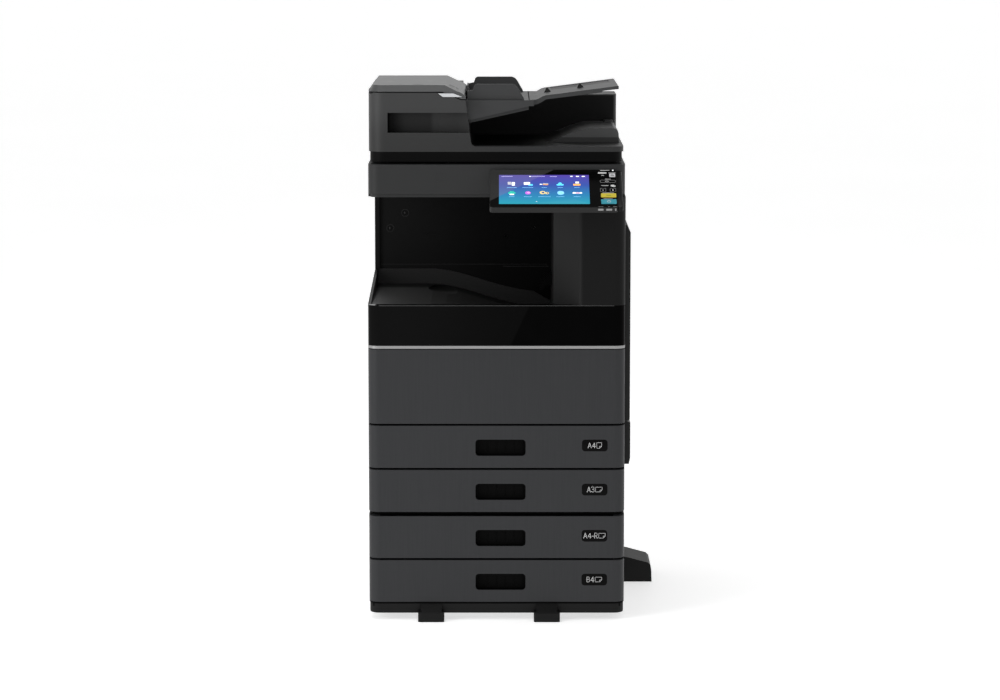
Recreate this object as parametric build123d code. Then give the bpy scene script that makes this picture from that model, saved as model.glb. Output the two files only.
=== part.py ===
from build123d import *
import math
import os

# Free-standing A3 photocopier with document feeder and paper-feed pedestal. Millimetres.
# X to the viewer's right, Y to the back, Z up. The origin is on the floor, under the middle of the body.

# ---- overall body ----
BODY_W = 585.0
BODY_D = 585.0
WALL = 3.0  # plastic covers and sheet-steel plates
FRONT_T = 26.0  # depth of every front panel
FRONT_GAP = 1.2  # moving fronts to the frame behind them
CORNER_R = 24.0  # vertical front corners of the body
EDGE_R = 1.2
JOINT_CLEAR = 0.3  # pieces on different bodies
PIN_CLEAR = 0.05
HW = BODY_W / 2
YF = -BODY_D / 2
YB = BODY_D / 2
FRONT_BACK = YF + FRONT_T
FRAME_Y = FRONT_BACK + FRONT_GAP
SIDE_X = HW - WALL  # outer face of the frames, inner face of the side covers
INNER_X = SIDE_X - WALL

# ---- heights ----
SKIRT_Z0, SKIRT_Z1, SKIRT_IN = 16.0, 38.0, 1.5
DRAWER_H = 97.8
DRAWER_Z = {4: 42.2, 3: 144.3, 2: 251.6, 1: 353.7}
PED_TOP = 243.0
PLINTH_TOP = 251.0
SHELF_Z = {2: 350.6, 1: 452.6}  # steel shelves above drawers 2 and 1
SHELF_T = 2.4
BAY_Z0 = SHELF_Z[1] + SHELF_T
BAY_Z1 = 652.0
FRAME_TOP = 716.0
DOOR_Z0, DOOR_Z1 = 455.5, 626.8
STRIP_Z0, STRIP_Z1 = 628.4, 634.8
RIM_Z = 727.2
SCAN_Z0 = 973.0
SCAN_LIP = 979.9
SCAN_Z1 = 1047.0
GLASS_T = 3.0

# ---- drawers ----
HANDLE_W, HANDLE_H, HANDLE_DEPTH = 114.5, 37.5, 21.0
HANDLE_X = 8.9
HANDLE_DROP = 2.0  # middle of the recess below the middle of the front
HANDLE_R = 8.0
TRAY_HALF_W = 250.0
TRAY_BACK = 228.0
TRAY_T = 2.0
TRAY_RISE, TRAY_TOP = 14.0, 84.0  # tray floor and rim above the bottom of the front
LIFT_T = 1.6
RUNNER_RISE, RUNNER_H = 40.0, 22.0
RUNNER_T = 3.0
RUNNER_X0 = 263.0

# ---- output tray and cavity ----
BACK_WALL_Y = 178.0
FLOOR_Z = 724.0
FLOOR_LOW_Z = 668.0
FLOOR_BEND_X0, FLOOR_BEND_X1 = -150.0, 122.0
UPSTAND_RISE = 36.0
DISH_X, DISH_Y = -111.0, 80.0
DISH_A, DISH_B, DISH_C = 52.0, 88.0, 9.0
PILLAR_X = 130.0
PILLAR_BEND_X, PILLAR_BEND_Y = 190.0, -225.0
TOWER_X = 199.0
TOWER_Y = BACK_WALL_Y + WALL
DOOR_PARTITION_X = 200.0

# ---- scanner ----
SCAN_HW = 290.5
GLASS = (-200.0, 235.0, -170.0, 135.0)  # platen glass: X and Y limits
READ_GLASS = (-240.0, -216.0, -170.0, 135.0)
LEDGE = 8.0
FIT = 0.2
RAIL_Y = (-120.0, 85.0)
RAIL_R = 5.0
RAIL_Z = 992.0
CARRIAGE_X0, CARRIAGE_W = -252.0, 40.0

# ---- document feeder ----
ADF_X0, ADF_X1 = -289.5, 287.0
ADF_Y0 = -280.0
ADF_Z0 = 1052.0
ADF_STRIP_IN = 3.0
ADF_BODY_Z0 = 1075.0
ADF_RIM_Z = 1087.0
ADF_TOP_Z = 1208.0
COVER_Z0, COVER_Z1 = 1210.4, 1225.0
COVER_TAPER = 32.0
ADF_CORNER_R = 35.0
COVER_BACK = 157.0
COVER_END_X = -69.5
COVER_BEND_X = -117.0
BODY_SLANT_TOP, BODY_SLANT_LOW = (-70.0, 1191.5), (-57.7, 1095.0)
SLOT_X0, SLOT_Z0, SLOT_Z1, SLOT_DEPTH = -246.0, 1118.0, 1163.0, 34.0
REAR_Y0, REAR_Y1 = 107.5, 240.0
REAR_Z1 = 1182.5
RAMP_Y0 = YF + 145.0
ADF_HINGE_Y, ADF_HINGE_Z = 262.0, 1062.0
ADF_HINGE_X = (-200.0, 200.0)
ADF_PIN_R = 5.0
NOSE_X, NOSE_Z, NOSE_R = -283.5, 1212.0, 6.0
FLOOR_IN_Z = 1189.4  # top of the input tray base
FEED_Y0, FEED_Y1 = -232.5, 87.5
FEED_AXIS_X, FEED_AXIS_Z, FEED_ROOT_R = 79.5, 1183.7, 6.0
FEED_PIN_R = 2.5
GUIDE_T = 7.0

# ---- control panel, laid out on its own tilted plane ----
PANEL_X0, PANEL_W, PANEL_L, PANEL_T = -15.0, 284.0, 156.0, 14.0
PANEL_TILT = 27.9
PANEL_TOP_Y, PANEL_TOP_Z = -302.0, 1037.0
PANEL_PIVOT_S, PANEL_PIVOT_D, PANEL_PIN_R = 24.0, 9.5, 2.5
PANEL_ARMS = (77.0, 177.0)
ARM_W = 12.0
SCREEN = (5.5, 207.0, 23.0, 146.0)  # X limits, then distance down the panel
GLASS_IN = 1.2
KEY_TRAVEL = 1.0
KEYS = {
    "key_home": (253.0, 266.3, 18.0, 31.5),
    "key_clear": (232.3, 266.4, 99.5, 115.5),
    "key_start": (232.3, 266.4, 124.0, 142.0),
}

# ---- doors ----
DOOR_PIN_Y, DOOR_PIN_Z, DOOR_PIN_R = YF + 6.0, 461.5, 2.0
DOOR_HINGE_X = (-235.0, 235.0)
SIDE_DOOR_Z0, SIDE_DOOR_Z1 = 456.5, 907.0
FEED_DOOR_Z0, FEED_DOOR_Z1 = 353.0, 453.0
SIDE_DOOR_Y0, FEED_DOOR_Y0, SIDE_DOOR_Y1 = -250.0, -232.0, 232.0
SIDE_DOOR_X1, FEED_DOOR_X1 = 305.0, 307.0
SIDE_HINGE_X, SIDE_HINGE_Y, SIDE_PIN_R = 298.0, 240.0, 2.5
BYPASS_Y, BYPASS_Z0, BYPASS_Z1 = 193.0, 502.0, 718.0
BYPASS_X0 = 298.3
BYPASS_R = (SIDE_DOOR_X1 - BYPASS_X0) / 2

# ---- castors and feet ----
CASTOR_X, CASTOR_Y = 225.0, (-170.0, 225.0)
WHEEL_R, WHEEL_W, AXLE_R, TRAIL = 19.0, 16.0, 3.0, 14.0
STEM_R = 4.0
PED_FLOOR_Z, PED_FLOOR_T = 50.0, 3.0
FOOT_X = (-150.0, 115.0)
OUTRIGGER_Y = (137.5, 267.0)

# ---- mains inlet and switch ----
INLET_X, INLET_Z = (-230.0, -200.0), (480.0, 504.0)
SWITCH_X, SWITCH_Z, SWITCH_Y = -183.0, 492.0, 291.0
SWITCH_W, SWITCH_H = 12.0, 18.0

# ---- exit roller ----
EXIT_X, EXIT_Z, EXIT_R, EXIT_SHAFT_R = 138.0, 750.0, 11.0, 4.0
EXIT_Y0, EXIT_Y1 = -20.0, 150.0


def block(x0, x1, y0, y1, z0, z1):
    middle = ((x0 + x1) / 2, (y0 + y1) / 2, (z0 + z1) / 2)
    return Pos(*middle) * Box(x1 - x0, y1 - y0, z1 - z0)


def outline(points):
    return make_face(Polyline(*points, close=True))


def along_x(points, x0, x1):
    plane = Plane(origin=(x0, 0, 0), x_dir=(0, 1, 0), z_dir=(1, 0, 0))
    return extrude(plane * outline(points), x1 - x0)


def along_y(points, y0, y1):
    plane = Plane(origin=(0, y1, 0), x_dir=(1, 0, 0), z_dir=(0, -1, 0))
    return extrude(plane * outline(points), y1 - y0)


def along_z(points, z0, z1):
    return extrude(Pos(0, 0, z0) * outline(points), z1 - z0)


def rod_x(y, z, r, x0, x1):
    return Pos((x0 + x1) / 2, y, z) * Rot(0, 90, 0) * Cylinder(r, x1 - x0)


def rod_y(x, z, r, y0, y1):
    return Pos(x, (y0 + y1) / 2, z) * Rot(90, 0, 0) * Cylinder(r, y1 - y0)


def rod_z(x, y, r, z0, z1):
    return Pos(x, y, (z0 + z1) / 2) * Cylinder(r, z1 - z0)


def vertical_edges(shape, x=None, y=None):
    edges = shape.edges().filter_by(Axis.Z)
    if x is not None:
        edges = edges.filter_by_position(Axis.X, x - 0.1, x + 0.1)
    if y is not None:
        edges = edges.filter_by_position(Axis.Y, y - 0.1, y + 0.1)
    return edges


def rounded_front(half_w, z0, z1, back, r, y0=YF):
    body = block(-half_w, half_w, y0, back, z0, z1)
    return fillet(vertical_edges(body, y=y0), r)


def front_panel(z0, z1, back, top_wall=WALL):
    """Body-width front moulding with round ends, open at the back."""
    shell = rounded_front(HW, z0, z1, back, CORNER_R)
    rims = [e for e in shell.edges().group_by(Axis.Z)[-1] + shell.edges().group_by(Axis.Z)[0]]
    rims = [e for e in rims if abs(e.center().Y - back) > 0.5]
    shell = fillet(rims, EDGE_R)
    inner = rounded_front(HW - WALL, z0 + WALL, z1 - top_wall, back + 1, CORNER_R - WALL, YF + WALL)
    return shell - inner


# ---------------------------------------------------------------- pedestal and feet


def base_skirt():
    inset = SKIRT_IN
    shell = rounded_front(HW - inset, SKIRT_Z0, SKIRT_Z1, YB - 5, CORNER_R - inset, YF + inset)
    shell = fillet([e for e in shell.edges().group_by(Axis.Z)[0] if e.center().Y < YB - 6], 2.5)
    hollow = rounded_front(HW - inset - WALL, SKIRT_Z0 - 1, SKIRT_Z1 + 1, YB - 5 - WALL, CORNER_R - inset - WALL,
                           YF + inset + WALL)
    ledge = block(-HW + 3, HW - 3, FRAME_Y, FRAME_Y + 6, SKIRT_Z1 - WALL, SKIRT_Z1)
    return shell - hollow + ledge


def stabilisers():
    """Two front foot shoes and the outrigger on the right-hand side."""
    solids = []
    skirt_front = YF + SKIRT_IN
    for x in FOOT_X:
        sole = [(skirt_front, 0), (YF - 25, 0), (YF - 25, 20), (YF - 22, 22.4), (YF, 37), (skirt_front, 37)]
        foot = along_x(sole, x - 30, x + 30)
        for side in (-1, 1):
            cut_x = x + side * 30
            shoulder = block(min(cut_x, cut_x - side * 6), max(cut_x, cut_x - side * 6), YF - 30, skirt_front + 1, 22.4, 40)
            foot = foot - shoulder
        solids.append(fillet(vertical_edges(foot, y=YF - 25), 6))
    top = [(HW, 0), (HW, 64), (HW + 26, 60), (HW + 74, 47), (HW + 80, 41), (HW + 82, 30), (HW + 83, 0)]
    solids.append(along_y(top, *OUTRIGGER_Y))
    solids[-1] = fillet(vertical_edges(solids[-1], y=OUTRIGGER_Y[0]).sort_by(Axis.X)[-1:], 6)
    return solids


def pedestal_frame():
    frame = block(-SIDE_X, SIDE_X, FRAME_Y, SIDE_X, SKIRT_Z1, PED_TOP)
    shelf = (DRAWER_Z[4] + DRAWER_H + DRAWER_Z[3]) / 2
    cell = (-INNER_X, INNER_X, FRAME_Y - 1, INNER_X)
    frame -= block(*cell, PED_FLOOR_Z + PED_FLOOR_T, shelf - SHELF_T / 2)
    frame -= block(*cell, shelf + SHELF_T / 2, PED_TOP - SHELF_T)
    frame -= block(-INNER_X, INNER_X, FRAME_Y + WALL, INNER_X, SKIRT_Z1 - 1, PED_FLOOR_Z)
    for x, y in castor_places():
        frame -= rod_z(x, y, STEM_R + PIN_CLEAR, PED_FLOOR_Z - 1, PED_FLOOR_Z + PED_FLOOR_T + 1)
    return frame


def castor_places():
    return [(sx * CASTOR_X, y) for y in CASTOR_Y for sx in (-1, 1)]


def castor_fork(x, y):
    top = PED_FLOOR_Z - JOINT_CLEAR
    fork = rod_z(x, y, 15, top - 4, top)
    fork += rod_z(x, y, STEM_R, top - 1, PED_FLOOR_Z + PED_FLOOR_T + 2.3)
    fork += rod_z(x, y, 7, PED_FLOOR_Z + PED_FLOOR_T + JOINT_CLEAR, PED_FLOOR_Z + PED_FLOOR_T + 2.3)
    leg = [(y - 12, top - 3), (y + 12, top - 3), (y + TRAIL + 7, WHEEL_R), (y + TRAIL, WHEEL_R - 7),
           (y + TRAIL - 7, WHEEL_R)]
    for side in (-1, 1):
        inside = x + side * (WHEEL_W / 2 + 1)
        outside = inside + side * 2.5
        fork += along_x(leg, min(inside, outside), max(inside, outside))
    return fork + rod_x(y + TRAIL, WHEEL_R, AXLE_R, x - WHEEL_W / 2 - 2, x + WHEEL_W / 2 + 2)


def castor_wheel(x, y):
    wheel = rod_x(y + TRAIL, WHEEL_R, WHEEL_R, x - WHEEL_W / 2, x + WHEEL_W / 2)
    wheel = fillet(wheel.edges().filter_by(GeomType.CIRCLE), 2)
    return wheel - rod_x(y + TRAIL, WHEEL_R, AXLE_R + PIN_CLEAR, x - WHEEL_W, x + WHEEL_W)


# ---------------------------------------------------------------- drawers


def handle_box(z0):
    middle = z0 + DRAWER_H / 2 - HANDLE_DROP
    return (HANDLE_X - HANDLE_W / 2, HANDLE_X + HANDLE_W / 2, middle - HANDLE_H / 2, middle + HANDLE_H / 2)


def drawer_front(z0):
    panel = front_panel(z0, z0 + DRAWER_H, FRONT_BACK)
    x0, x1, h0, h1 = handle_box(z0)
    grip_rise = 9.0
    panel += block(x0 - WALL, x1 + WALL, YF + 1, FRONT_BACK, h0 - WALL, h1 + grip_rise + WALL)
    pocket = block(x0, x1, YF - 1, YF + HANDLE_DEPTH, h0, h1)
    pocket = fillet(pocket.edges().filter_by(Axis.Y), HANDLE_R)
    grip = block(x0 + HANDLE_R, x1 - HANDLE_R, YF + 7, YF + HANDLE_DEPTH, h1 - HANDLE_R, h1 + grip_rise)
    return panel - pocket - grip


def drawer_tray(z0):
    """Sheet-steel tray with runners, lift plate and three paper guides, as separate solids."""
    floor, rim = z0 + TRAY_RISE, z0 + TRAY_TOP
    tray = block(-TRAY_HALF_W, TRAY_HALF_W, FRONT_BACK, TRAY_BACK, floor, rim)
    tray -= block(-TRAY_HALF_W + TRAY_T, TRAY_HALF_W - TRAY_T, FRONT_BACK + TRAY_T, TRAY_BACK - TRAY_T,
                  floor + TRAY_T, rim + 1)
    tray += block(-INNER_X + 6, INNER_X - 6, FRONT_BACK, FRONT_BACK + TRAY_T, floor - 2, rim + 6)
    low = z0 + RUNNER_RISE + RUNNER_T + JOINT_CLEAR
    high = z0 + RUNNER_RISE + RUNNER_H - RUNNER_T - JOINT_CLEAR
    for side in (-1, 1):
        xs = sorted((side * TRAY_HALF_W, side * (INNER_X - RUNNER_T - JOINT_CLEAR)))
        tray += block(*xs, FRONT_BACK + TRAY_T + 20, TRAY_BACK, low, high)
    top = floor + TRAY_T
    plate = block(-170, 170, -235, 120, top, top + LIFT_T)
    plate -= block(-170, -140, -170, 90, top - 1, top + 5)
    plate -= block(140, 170, -170, 90, top - 1, top + 5)
    guides = [block(side * 150 - 1.5, side * 150 + 1.5, -110, 40, top, rim - 6) for side in (-1, 1)]
    guides.append(block(-30, 30, 150, 153, top, rim - 6))
    return [tray, plate] + guides


def drawer_rails():
    """Channel runners on the frame walls, one each side of every drawer."""
    solids = []
    for z0 in DRAWER_Z.values():
        low, high = z0 + RUNNER_RISE, z0 + RUNNER_RISE + RUNNER_H
        for side in (-1, 1):
            web = sorted((side * INNER_X, side * (INNER_X - RUNNER_T)))
            arm = sorted((side * INNER_X, side * RUNNER_X0))
            rail = block(*web, FRAME_Y + 4, TRAY_BACK + 12, low, high)
            rail += block(*arm, FRAME_Y + 4, TRAY_BACK + 12, low, low + RUNNER_T)
            rail += block(*arm, FRAME_Y + 4, TRAY_BACK + 12, high - RUNNER_T, high)
            solids.append(rail)
    return solids


# ---------------------------------------------------------------- main unit


def main_frame():
    frame = block(-SIDE_X, SIDE_X, FRAME_Y, SIDE_X, PLINTH_TOP, FRAME_TOP)
    cell = (-INNER_X, INNER_X, FRAME_Y - 1, INNER_X)
    frame -= block(*cell, PLINTH_TOP + 1.2, SHELF_Z[2])
    frame -= block(*cell, SHELF_Z[2] + SHELF_T, SHELF_Z[1])
    frame -= block(-INNER_X, DOOR_PARTITION_X, FRAME_Y - 1, INNER_X, BAY_Z0, BAY_Z1)
    frame -= block(-INNER_X, DOOR_PARTITION_X, FRAME_Y - 1, INNER_X, BAY_Z1 + WALL, FRAME_TOP + 1)
    bay_x0 = DOOR_PARTITION_X + WALL
    frame -= block(bay_x0, INNER_X, FRAME_Y - 1, INNER_X, BAY_Z0, FRAME_TOP - WALL)
    frame -= block(INNER_X - 1, SIDE_X + 1, FEED_DOOR_Y0 + 14, SIDE_DOOR_Y1 - 14, BAY_Z0 + 8, FRAME_TOP - 20)
    frame -= block(INNER_X - 1, SIDE_X + 1, FEED_DOOR_Y0 + 14, SIDE_DOOR_Y1 - 14, 420, 444)
    frame += block(-INNER_X + 3, INNER_X - 3, FRAME_Y + 3, INNER_X - 3, PED_TOP, PLINTH_TOP)
    frame -= block(INLET_X[0] - 1, INLET_X[1] + 1, INNER_X - 1, SIDE_X + 1, INLET_Z[0] - 1, INLET_Z[1] + 1)
    frame -= switch_window(INNER_X - 1, SIDE_X + 1)
    for x in DOOR_HINGE_X:
        frame += block(x - 5, x + 5, FRAME_Y - 1, FRAME_Y + 16, BAY_Z0, DOOR_PIN_Z + 2.3)
        frame += block(x - 5, x + 5, DOOR_PIN_Y, FRAME_Y + 1, DOOR_PIN_Z - 2.3, DOOR_PIN_Z + 2.3)
        frame += rod_x(DOOR_PIN_Y, DOOR_PIN_Z, 2.3, x - 5, x + 5)
        frame += rod_x(DOOR_PIN_Y, DOOR_PIN_Z, DOOR_PIN_R, x - 14, x + 14)
    return frame


def switch_window(y0, y1, grow=3.5):
    half_w, half_h = SWITCH_W / 2 + grow, SWITCH_H / 2 + grow
    return block(SWITCH_X - half_w, SWITCH_X + half_w, y0, y1, SWITCH_Z - half_h, SWITCH_Z + half_h)


def upper_frame():
    """Steel tower behind and to the right of the output cavity; it carries the scanner."""
    tower = block(-SIDE_X, SIDE_X, TOWER_Y, SIDE_X, FRAME_TOP, SCAN_Z0)
    tower += block(TOWER_X, SIDE_X, FRAME_Y + 5, TOWER_Y, FRAME_TOP, SCAN_Z0)
    inner = block(-INNER_X, INNER_X, TOWER_Y + WALL, INNER_X, FRAME_TOP + WALL, SCAN_Z0 - WALL)
    inner += block(TOWER_X + WALL, INNER_X, FRAME_Y + 8, TOWER_Y + 5, FRAME_TOP + WALL, SCAN_Z0 - WALL)
    tower -= inner
    tower -= block(-240, 240, INNER_X - 1, SIDE_X + 1, FRAME_TOP + 24, SCAN_Z0 - 30)
    return tower - block(INNER_X - 1, SIDE_X + 1, FEED_DOOR_Y0 + 14, SIDE_DOOR_Y1 - 14, FRAME_TOP - 1, 890)


def side_covers():
    """Left and right covers of the main unit and of the pedestal, with the ears of the side-door hinges."""
    left = [(FRAME_Y, DRAWER_Z[2]), (YB, DRAWER_Z[2]), (YB, SCAN_Z0), (BACK_WALL_Y, SCAN_Z0),
            (BACK_WALL_Y, FLOOR_Z + UPSTAND_RISE), (FRAME_Y, RIM_Z)]
    right = [(FRAME_Y, DRAWER_Z[2]), (YB, DRAWER_Z[2]), (YB, SCAN_Z0), (FRAME_Y, SCAN_Z0)]
    low = [(FRAME_Y, SKIRT_Z1), (YB, SKIRT_Z1), (YB, PED_TOP), (FRAME_Y, PED_TOP)]
    left_cover = along_x(left, -HW, -SIDE_X)
    right_cover = along_x(right, SIDE_X, HW)
    window = (SIDE_X - 1, HW + 1, FEED_DOOR_Y0 + 14, SIDE_DOOR_Y1 - 14)
    right_cover -= block(*window, SIDE_DOOR_Z0 + 8, SIDE_DOOR_Z1 - 20)
    right_cover -= block(*window, FEED_DOOR_Z0 + 8, FEED_DOOR_Z1 - 8)
    for z0, z1 in side_knuckles():
        right_cover += side_ears(z0, z1)
    return [left_cover, right_cover, along_x(low, -HW, -SIDE_X), along_x(low, SIDE_X, HW)]


def side_knuckles():
    """Heights of the side-door knuckles: two on the upper door and one on the lower."""
    return [(500.0, 522.0), (840.0, 862.0), (392.0, 414.0)]


def side_ears(z0, z1):
    reach = 4.5
    ears = rod_z(SIDE_HINGE_X, SIDE_HINGE_Y, SIDE_PIN_R, z0 - 8, z1 + 8)
    for low, high in ((z0 - 10, z0 - 0.5), (z1 + 0.5, z1 + 10)):
        ears += block(HW - 1, SIDE_HINGE_X + reach, SIDE_HINGE_Y - reach, SIDE_HINGE_Y + reach, low, high)
    return ears


def rear_covers():
    """Main and pedestal rear covers, with vents and the opening for the mains inlet."""
    main = block(-SIDE_X, SIDE_X, SIDE_X, YB, DRAWER_Z[2], SCAN_Z0)
    for row in range(9):
        z = 800 + row * 14
        main -= block(60, 230, SIDE_X - 1, YB + 1, z, z + 5)
        main -= block(-230, -60, SIDE_X - 1, YB + 1, z, z + 5)
    main -= block(INLET_X[0] - 1, INLET_X[1] + 1, SIDE_X - 1, YB + 1, INLET_Z[0] - 1, INLET_Z[1] + 1)
    main -= switch_window(SIDE_X - 1, YB + 1)
    return [main, block(-SIDE_X, SIDE_X, SIDE_X, YB, SKIRT_Z1, PED_TOP)]


def front_fascia():
    """Gloss fascia under the output tray, and the bright trim strip below it."""
    fascia = front_panel(STRIP_Z1, RIM_Z, FRAME_Y)
    strip = rounded_front(HW, STRIP_Z0, STRIP_Z1, FRAME_Y, CORNER_R)
    strip -= rounded_front(HW - WALL, STRIP_Z0 - 1, STRIP_Z1 + 1, FRAME_Y + 1, CORNER_R - WALL, YF + WALL)
    return [fascia, strip]


def front_door():
    door = front_panel(DOOR_Z0, DOOR_Z1, FRONT_BACK)
    for x in DOOR_HINGE_X:
        door -= block(x - 6, x + 6, YF + WALL + 0.1, FRONT_BACK + 1, DOOR_Z0 - 1, DOOR_Z0 + WALL + 1)
        for x0, x1 in ((x - 14, x - 5.6), (x + 5.6, x + 14)):
            knuckle = rod_x(DOOR_PIN_Y, DOOR_PIN_Z, 3.4, x0, x1)
            knuckle += block(x0, x1, YF + 1, DOOR_PIN_Y, DOOR_PIN_Z - 3.4, DOOR_PIN_Z + 3.4)
            door += knuckle - rod_x(DOOR_PIN_Y, DOOR_PIN_Z, DOOR_PIN_R + PIN_CLEAR, x0 - 1, x1 + 1)
            door -= rod_x(DOOR_PIN_Y, DOOR_PIN_Z, DOOR_PIN_R + PIN_CLEAR, x0, x1)
    return door


def floor_curve(drop):
    """Top line of the output tray's floor, lowered by drop: level, then a long S down to the exit side."""
    start = (FLOOR_BEND_X0, FLOOR_Z - drop)
    end = (FLOOR_BEND_X1, FLOOR_LOW_Z - drop)
    steps = 8
    points = []
    for i in range(steps + 1):
        share = i / steps
        ease = (1 - math.cos(math.pi * share ** 0.85)) / 2
        points.append((start[0] + (end[0] - start[0]) * share, start[1] + (end[1] - start[1]) * ease))
    return points


def output_tray():
    left, right = -SIDE_X, TOWER_X - 3
    top = [(left, FLOOR_Z)] + floor_curve(0) + [(right, FLOOR_LOW_Z)]
    low = [(left, FLOOR_Z - WALL)] + floor_curve(WALL) + [(right, FLOOR_LOW_Z - WALL)]
    tray = along_y(top + low[::-1], FRAME_Y, BACK_WALL_Y)
    solid_under = along_y(top + [(right, 600), (left, 600)], FRAME_Y + 5, BACK_WALL_Y - 5)
    pad = Pos(DISH_X, DISH_Y, FLOOR_Z - 1) * scale(Sphere(1), (DISH_A + 6, DISH_B + 6, DISH_C + 3))
    tray += pad & solid_under
    tray -= Pos(DISH_X, DISH_Y, FLOOR_Z - 1) * scale(Sphere(1), (DISH_A, DISH_B, DISH_C))
    front = [(left, FLOOR_Z - WALL), (left, RIM_Z), (right, RIM_Z)] + [(right, FLOOR_LOW_Z - WALL)]
    tray += along_y(front + floor_curve(WALL)[::-1], FRAME_Y, FRAME_Y + WALL)
    rise = [(x, z + UPSTAND_RISE) for x, z in floor_curve(0)]
    back = [(left, FLOOR_Z - WALL), (left, FLOOR_Z + UPSTAND_RISE)] + rise[:-1]
    back += [(PILLAR_X, FLOOR_LOW_Z + 14), (PILLAR_X, FLOOR_LOW_Z - WALL)] + floor_curve(WALL)[::-1]
    tray += along_y(back, BACK_WALL_Y - 4, BACK_WALL_Y)
    side = [(FRAME_Y, FRAME_TOP), (FRAME_Y, RIM_Z), (BACK_WALL_Y, FLOOR_Z + UPSTAND_RISE), (BACK_WALL_Y, FRAME_TOP)]
    return tray + along_x(side, left, left + WALL)


def back_wall():
    """Rear wall of the output cavity, and the narrow left rear pillar in front of its edge."""
    wall = block(-SIDE_X, TOWER_X, BACK_WALL_Y, TOWER_Y, FRAME_TOP, SCAN_Z0)
    for x, z in ((-220.0, 894.0), (-256.0, 857.0)):
        wall -= rod_y(x, z, 6, BACK_WALL_Y - 1, BACK_WALL_Y + 1.5)
        wall += rod_y(x, z, 3.5, BACK_WALL_Y + 0.6, BACK_WALL_Y + 2)
    for x, z in ((21.0, 838.0), (88.0, 859.0)):
        wall -= rod_y(x, z, 4, BACK_WALL_Y - 1, TOWER_Y + 1)
    wall -= block(-168, -146, BACK_WALL_Y - 1, BACK_WALL_Y + 1.5, 842, 847)
    pillar = block(-HW, -SIDE_X + 8, BACK_WALL_Y - 9, BACK_WALL_Y, FLOOR_Z + UPSTAND_RISE, SCAN_Z0)
    for z in (811.0, 790.0):
        pillar -= block(-HW - 1, -SIDE_X + 9, BACK_WALL_Y - 10, BACK_WALL_Y - 8, z, z + 1.5)
    return [wall, pillar]


def pillar_outline(inset):
    bend = inset * 0.45
    extra = 1 if inset else 0
    return [(PILLAR_X + inset, BACK_WALL_Y + extra), (PILLAR_X + inset, PILLAR_BEND_Y + bend),
            (PILLAR_BEND_X + bend, YF + inset), (HW - inset, YF + inset), (HW - inset, FRAME_Y + extra)]


def pillar_cover():
    """Right-hand pillar: flat front, slanting left front and the left wall with the paper exit."""
    def prism(points, z0, z1, back, side, bend_r, corner_r):
        shape = along_z(points + [(side, back), (side, BACK_WALL_Y + back - FRAME_Y)], z0, z1)
        shape = fillet(vertical_edges(shape, x=points[3][0], y=points[3][1]), corner_r)
        return fillet(vertical_edges(shape, x=points[2][0], y=points[2][1]), bend_r)

    def shell(z0, z1):
        outer = prism(pillar_outline(0), z0, z1, FRAME_Y, TOWER_X, 12, CORNER_R)
        return outer - prism(pillar_outline(WALL), z0 - 1, z1 + 1, FRAME_Y + 1, TOWER_X + 1, 9, CORNER_R - WALL)

    keep = block(PILLAR_X - 1, TOWER_X - 3, FRAME_Y + WALL, BACK_WALL_Y, FLOOR_LOW_Z, RIM_Z)
    cover = shell(RIM_Z, SCAN_Z0) + (shell(FLOOR_LOW_Z, RIM_Z) & keep)
    cover -= block(PILLAR_X - 1, PILLAR_X + WALL + 1, EXIT_Y0 + 5, EXIT_Y1 - 5, EXIT_Z - 14, EXIT_Z + 14)
    for y in (EXIT_Y0 - 6, EXIT_Y1 + 1):
        ear = block(PILLAR_X + 1, EXIT_X + 7, y, y + 5, EXIT_Z - 7, EXIT_Z + 7)
        cover += ear - rod_y(EXIT_X, EXIT_Z, EXIT_SHAFT_R + PIN_CLEAR, y - 1, y + 6)
    return cover


def exit_roller():
    roller = rod_y(EXIT_X, EXIT_Z, EXIT_SHAFT_R, EXIT_Y0 - 5, EXIT_Y1 + 5)
    for i in range(4):
        y = EXIT_Y0 + 18 + i * 38
        roller += rod_y(EXIT_X, EXIT_Z, EXIT_R, y, y + 18)
    return roller


# ---------------------------------------------------------------- engine


def toner_cartridges():
    solids = []
    z0 = BAY_Z0 + 112
    for i in range(4):
        x = -222 + i * 92
        body = block(x - 30, x + 30, FRAME_Y + 12, 170, z0, z0 + 58)
        body = fillet(body.edges().filter_by(Axis.Y).group_by(Axis.Z)[-1], 22)
        grip = block(x - 12, x + 12, FRAME_Y + 2, FRAME_Y + 12, z0 + 14, z0 + 40)
        solids.append(body + grip)
    return solids


def drum_units():
    solids = []
    z0 = BAY_Z0 + 34
    for i in range(4):
        x = -222 + i * 92
        shell = block(x - 34, x + 34, FRAME_Y + 16, 170, z0, z0 + 50)
        shell -= rod_y(x - 10, z0 + 32, 15.5, FRAME_Y + 24, 162)
        shell -= block(x - 18, x - 2, FRAME_Y + 24, 162, z0 + 40, z0 + 51)
        shell += rod_y(x - 10, z0 + 32, 15, FRAME_Y + 20, 166)
        solids.append(shell)
    return solids


def transfer_belt_unit():
    z0, z1 = BAY_Z0 + 84, BAY_Z0 + 112
    r = (z1 - z0) / 2
    x0, x1 = -262.0, 150.0
    middle = (z0 + z1) / 2
    loop = block(x0 + r, x1 - r, FRAME_Y + 20, 170, z0, z1)
    loop += rod_y(x0 + r, middle, r, FRAME_Y + 20, 170) + rod_y(x1 - r, middle, r, FRAME_Y + 20, 170)
    plates = [block(x0, x1 + 20, y, y + 4, z0, z1) for y in (FRAME_Y + 16, 170)]
    return [loop] + plates


def laser_unit():
    z0 = BAY_Z0
    body = block(-262, 150, FRAME_Y + 24, 150, z0, z0 + 34)
    for i in range(4):
        x = -222 + i * 92
        body -= block(x - 24, x - 20, FRAME_Y + 40, 130, z0 + 28, z0 + 35)
    return body


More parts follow.
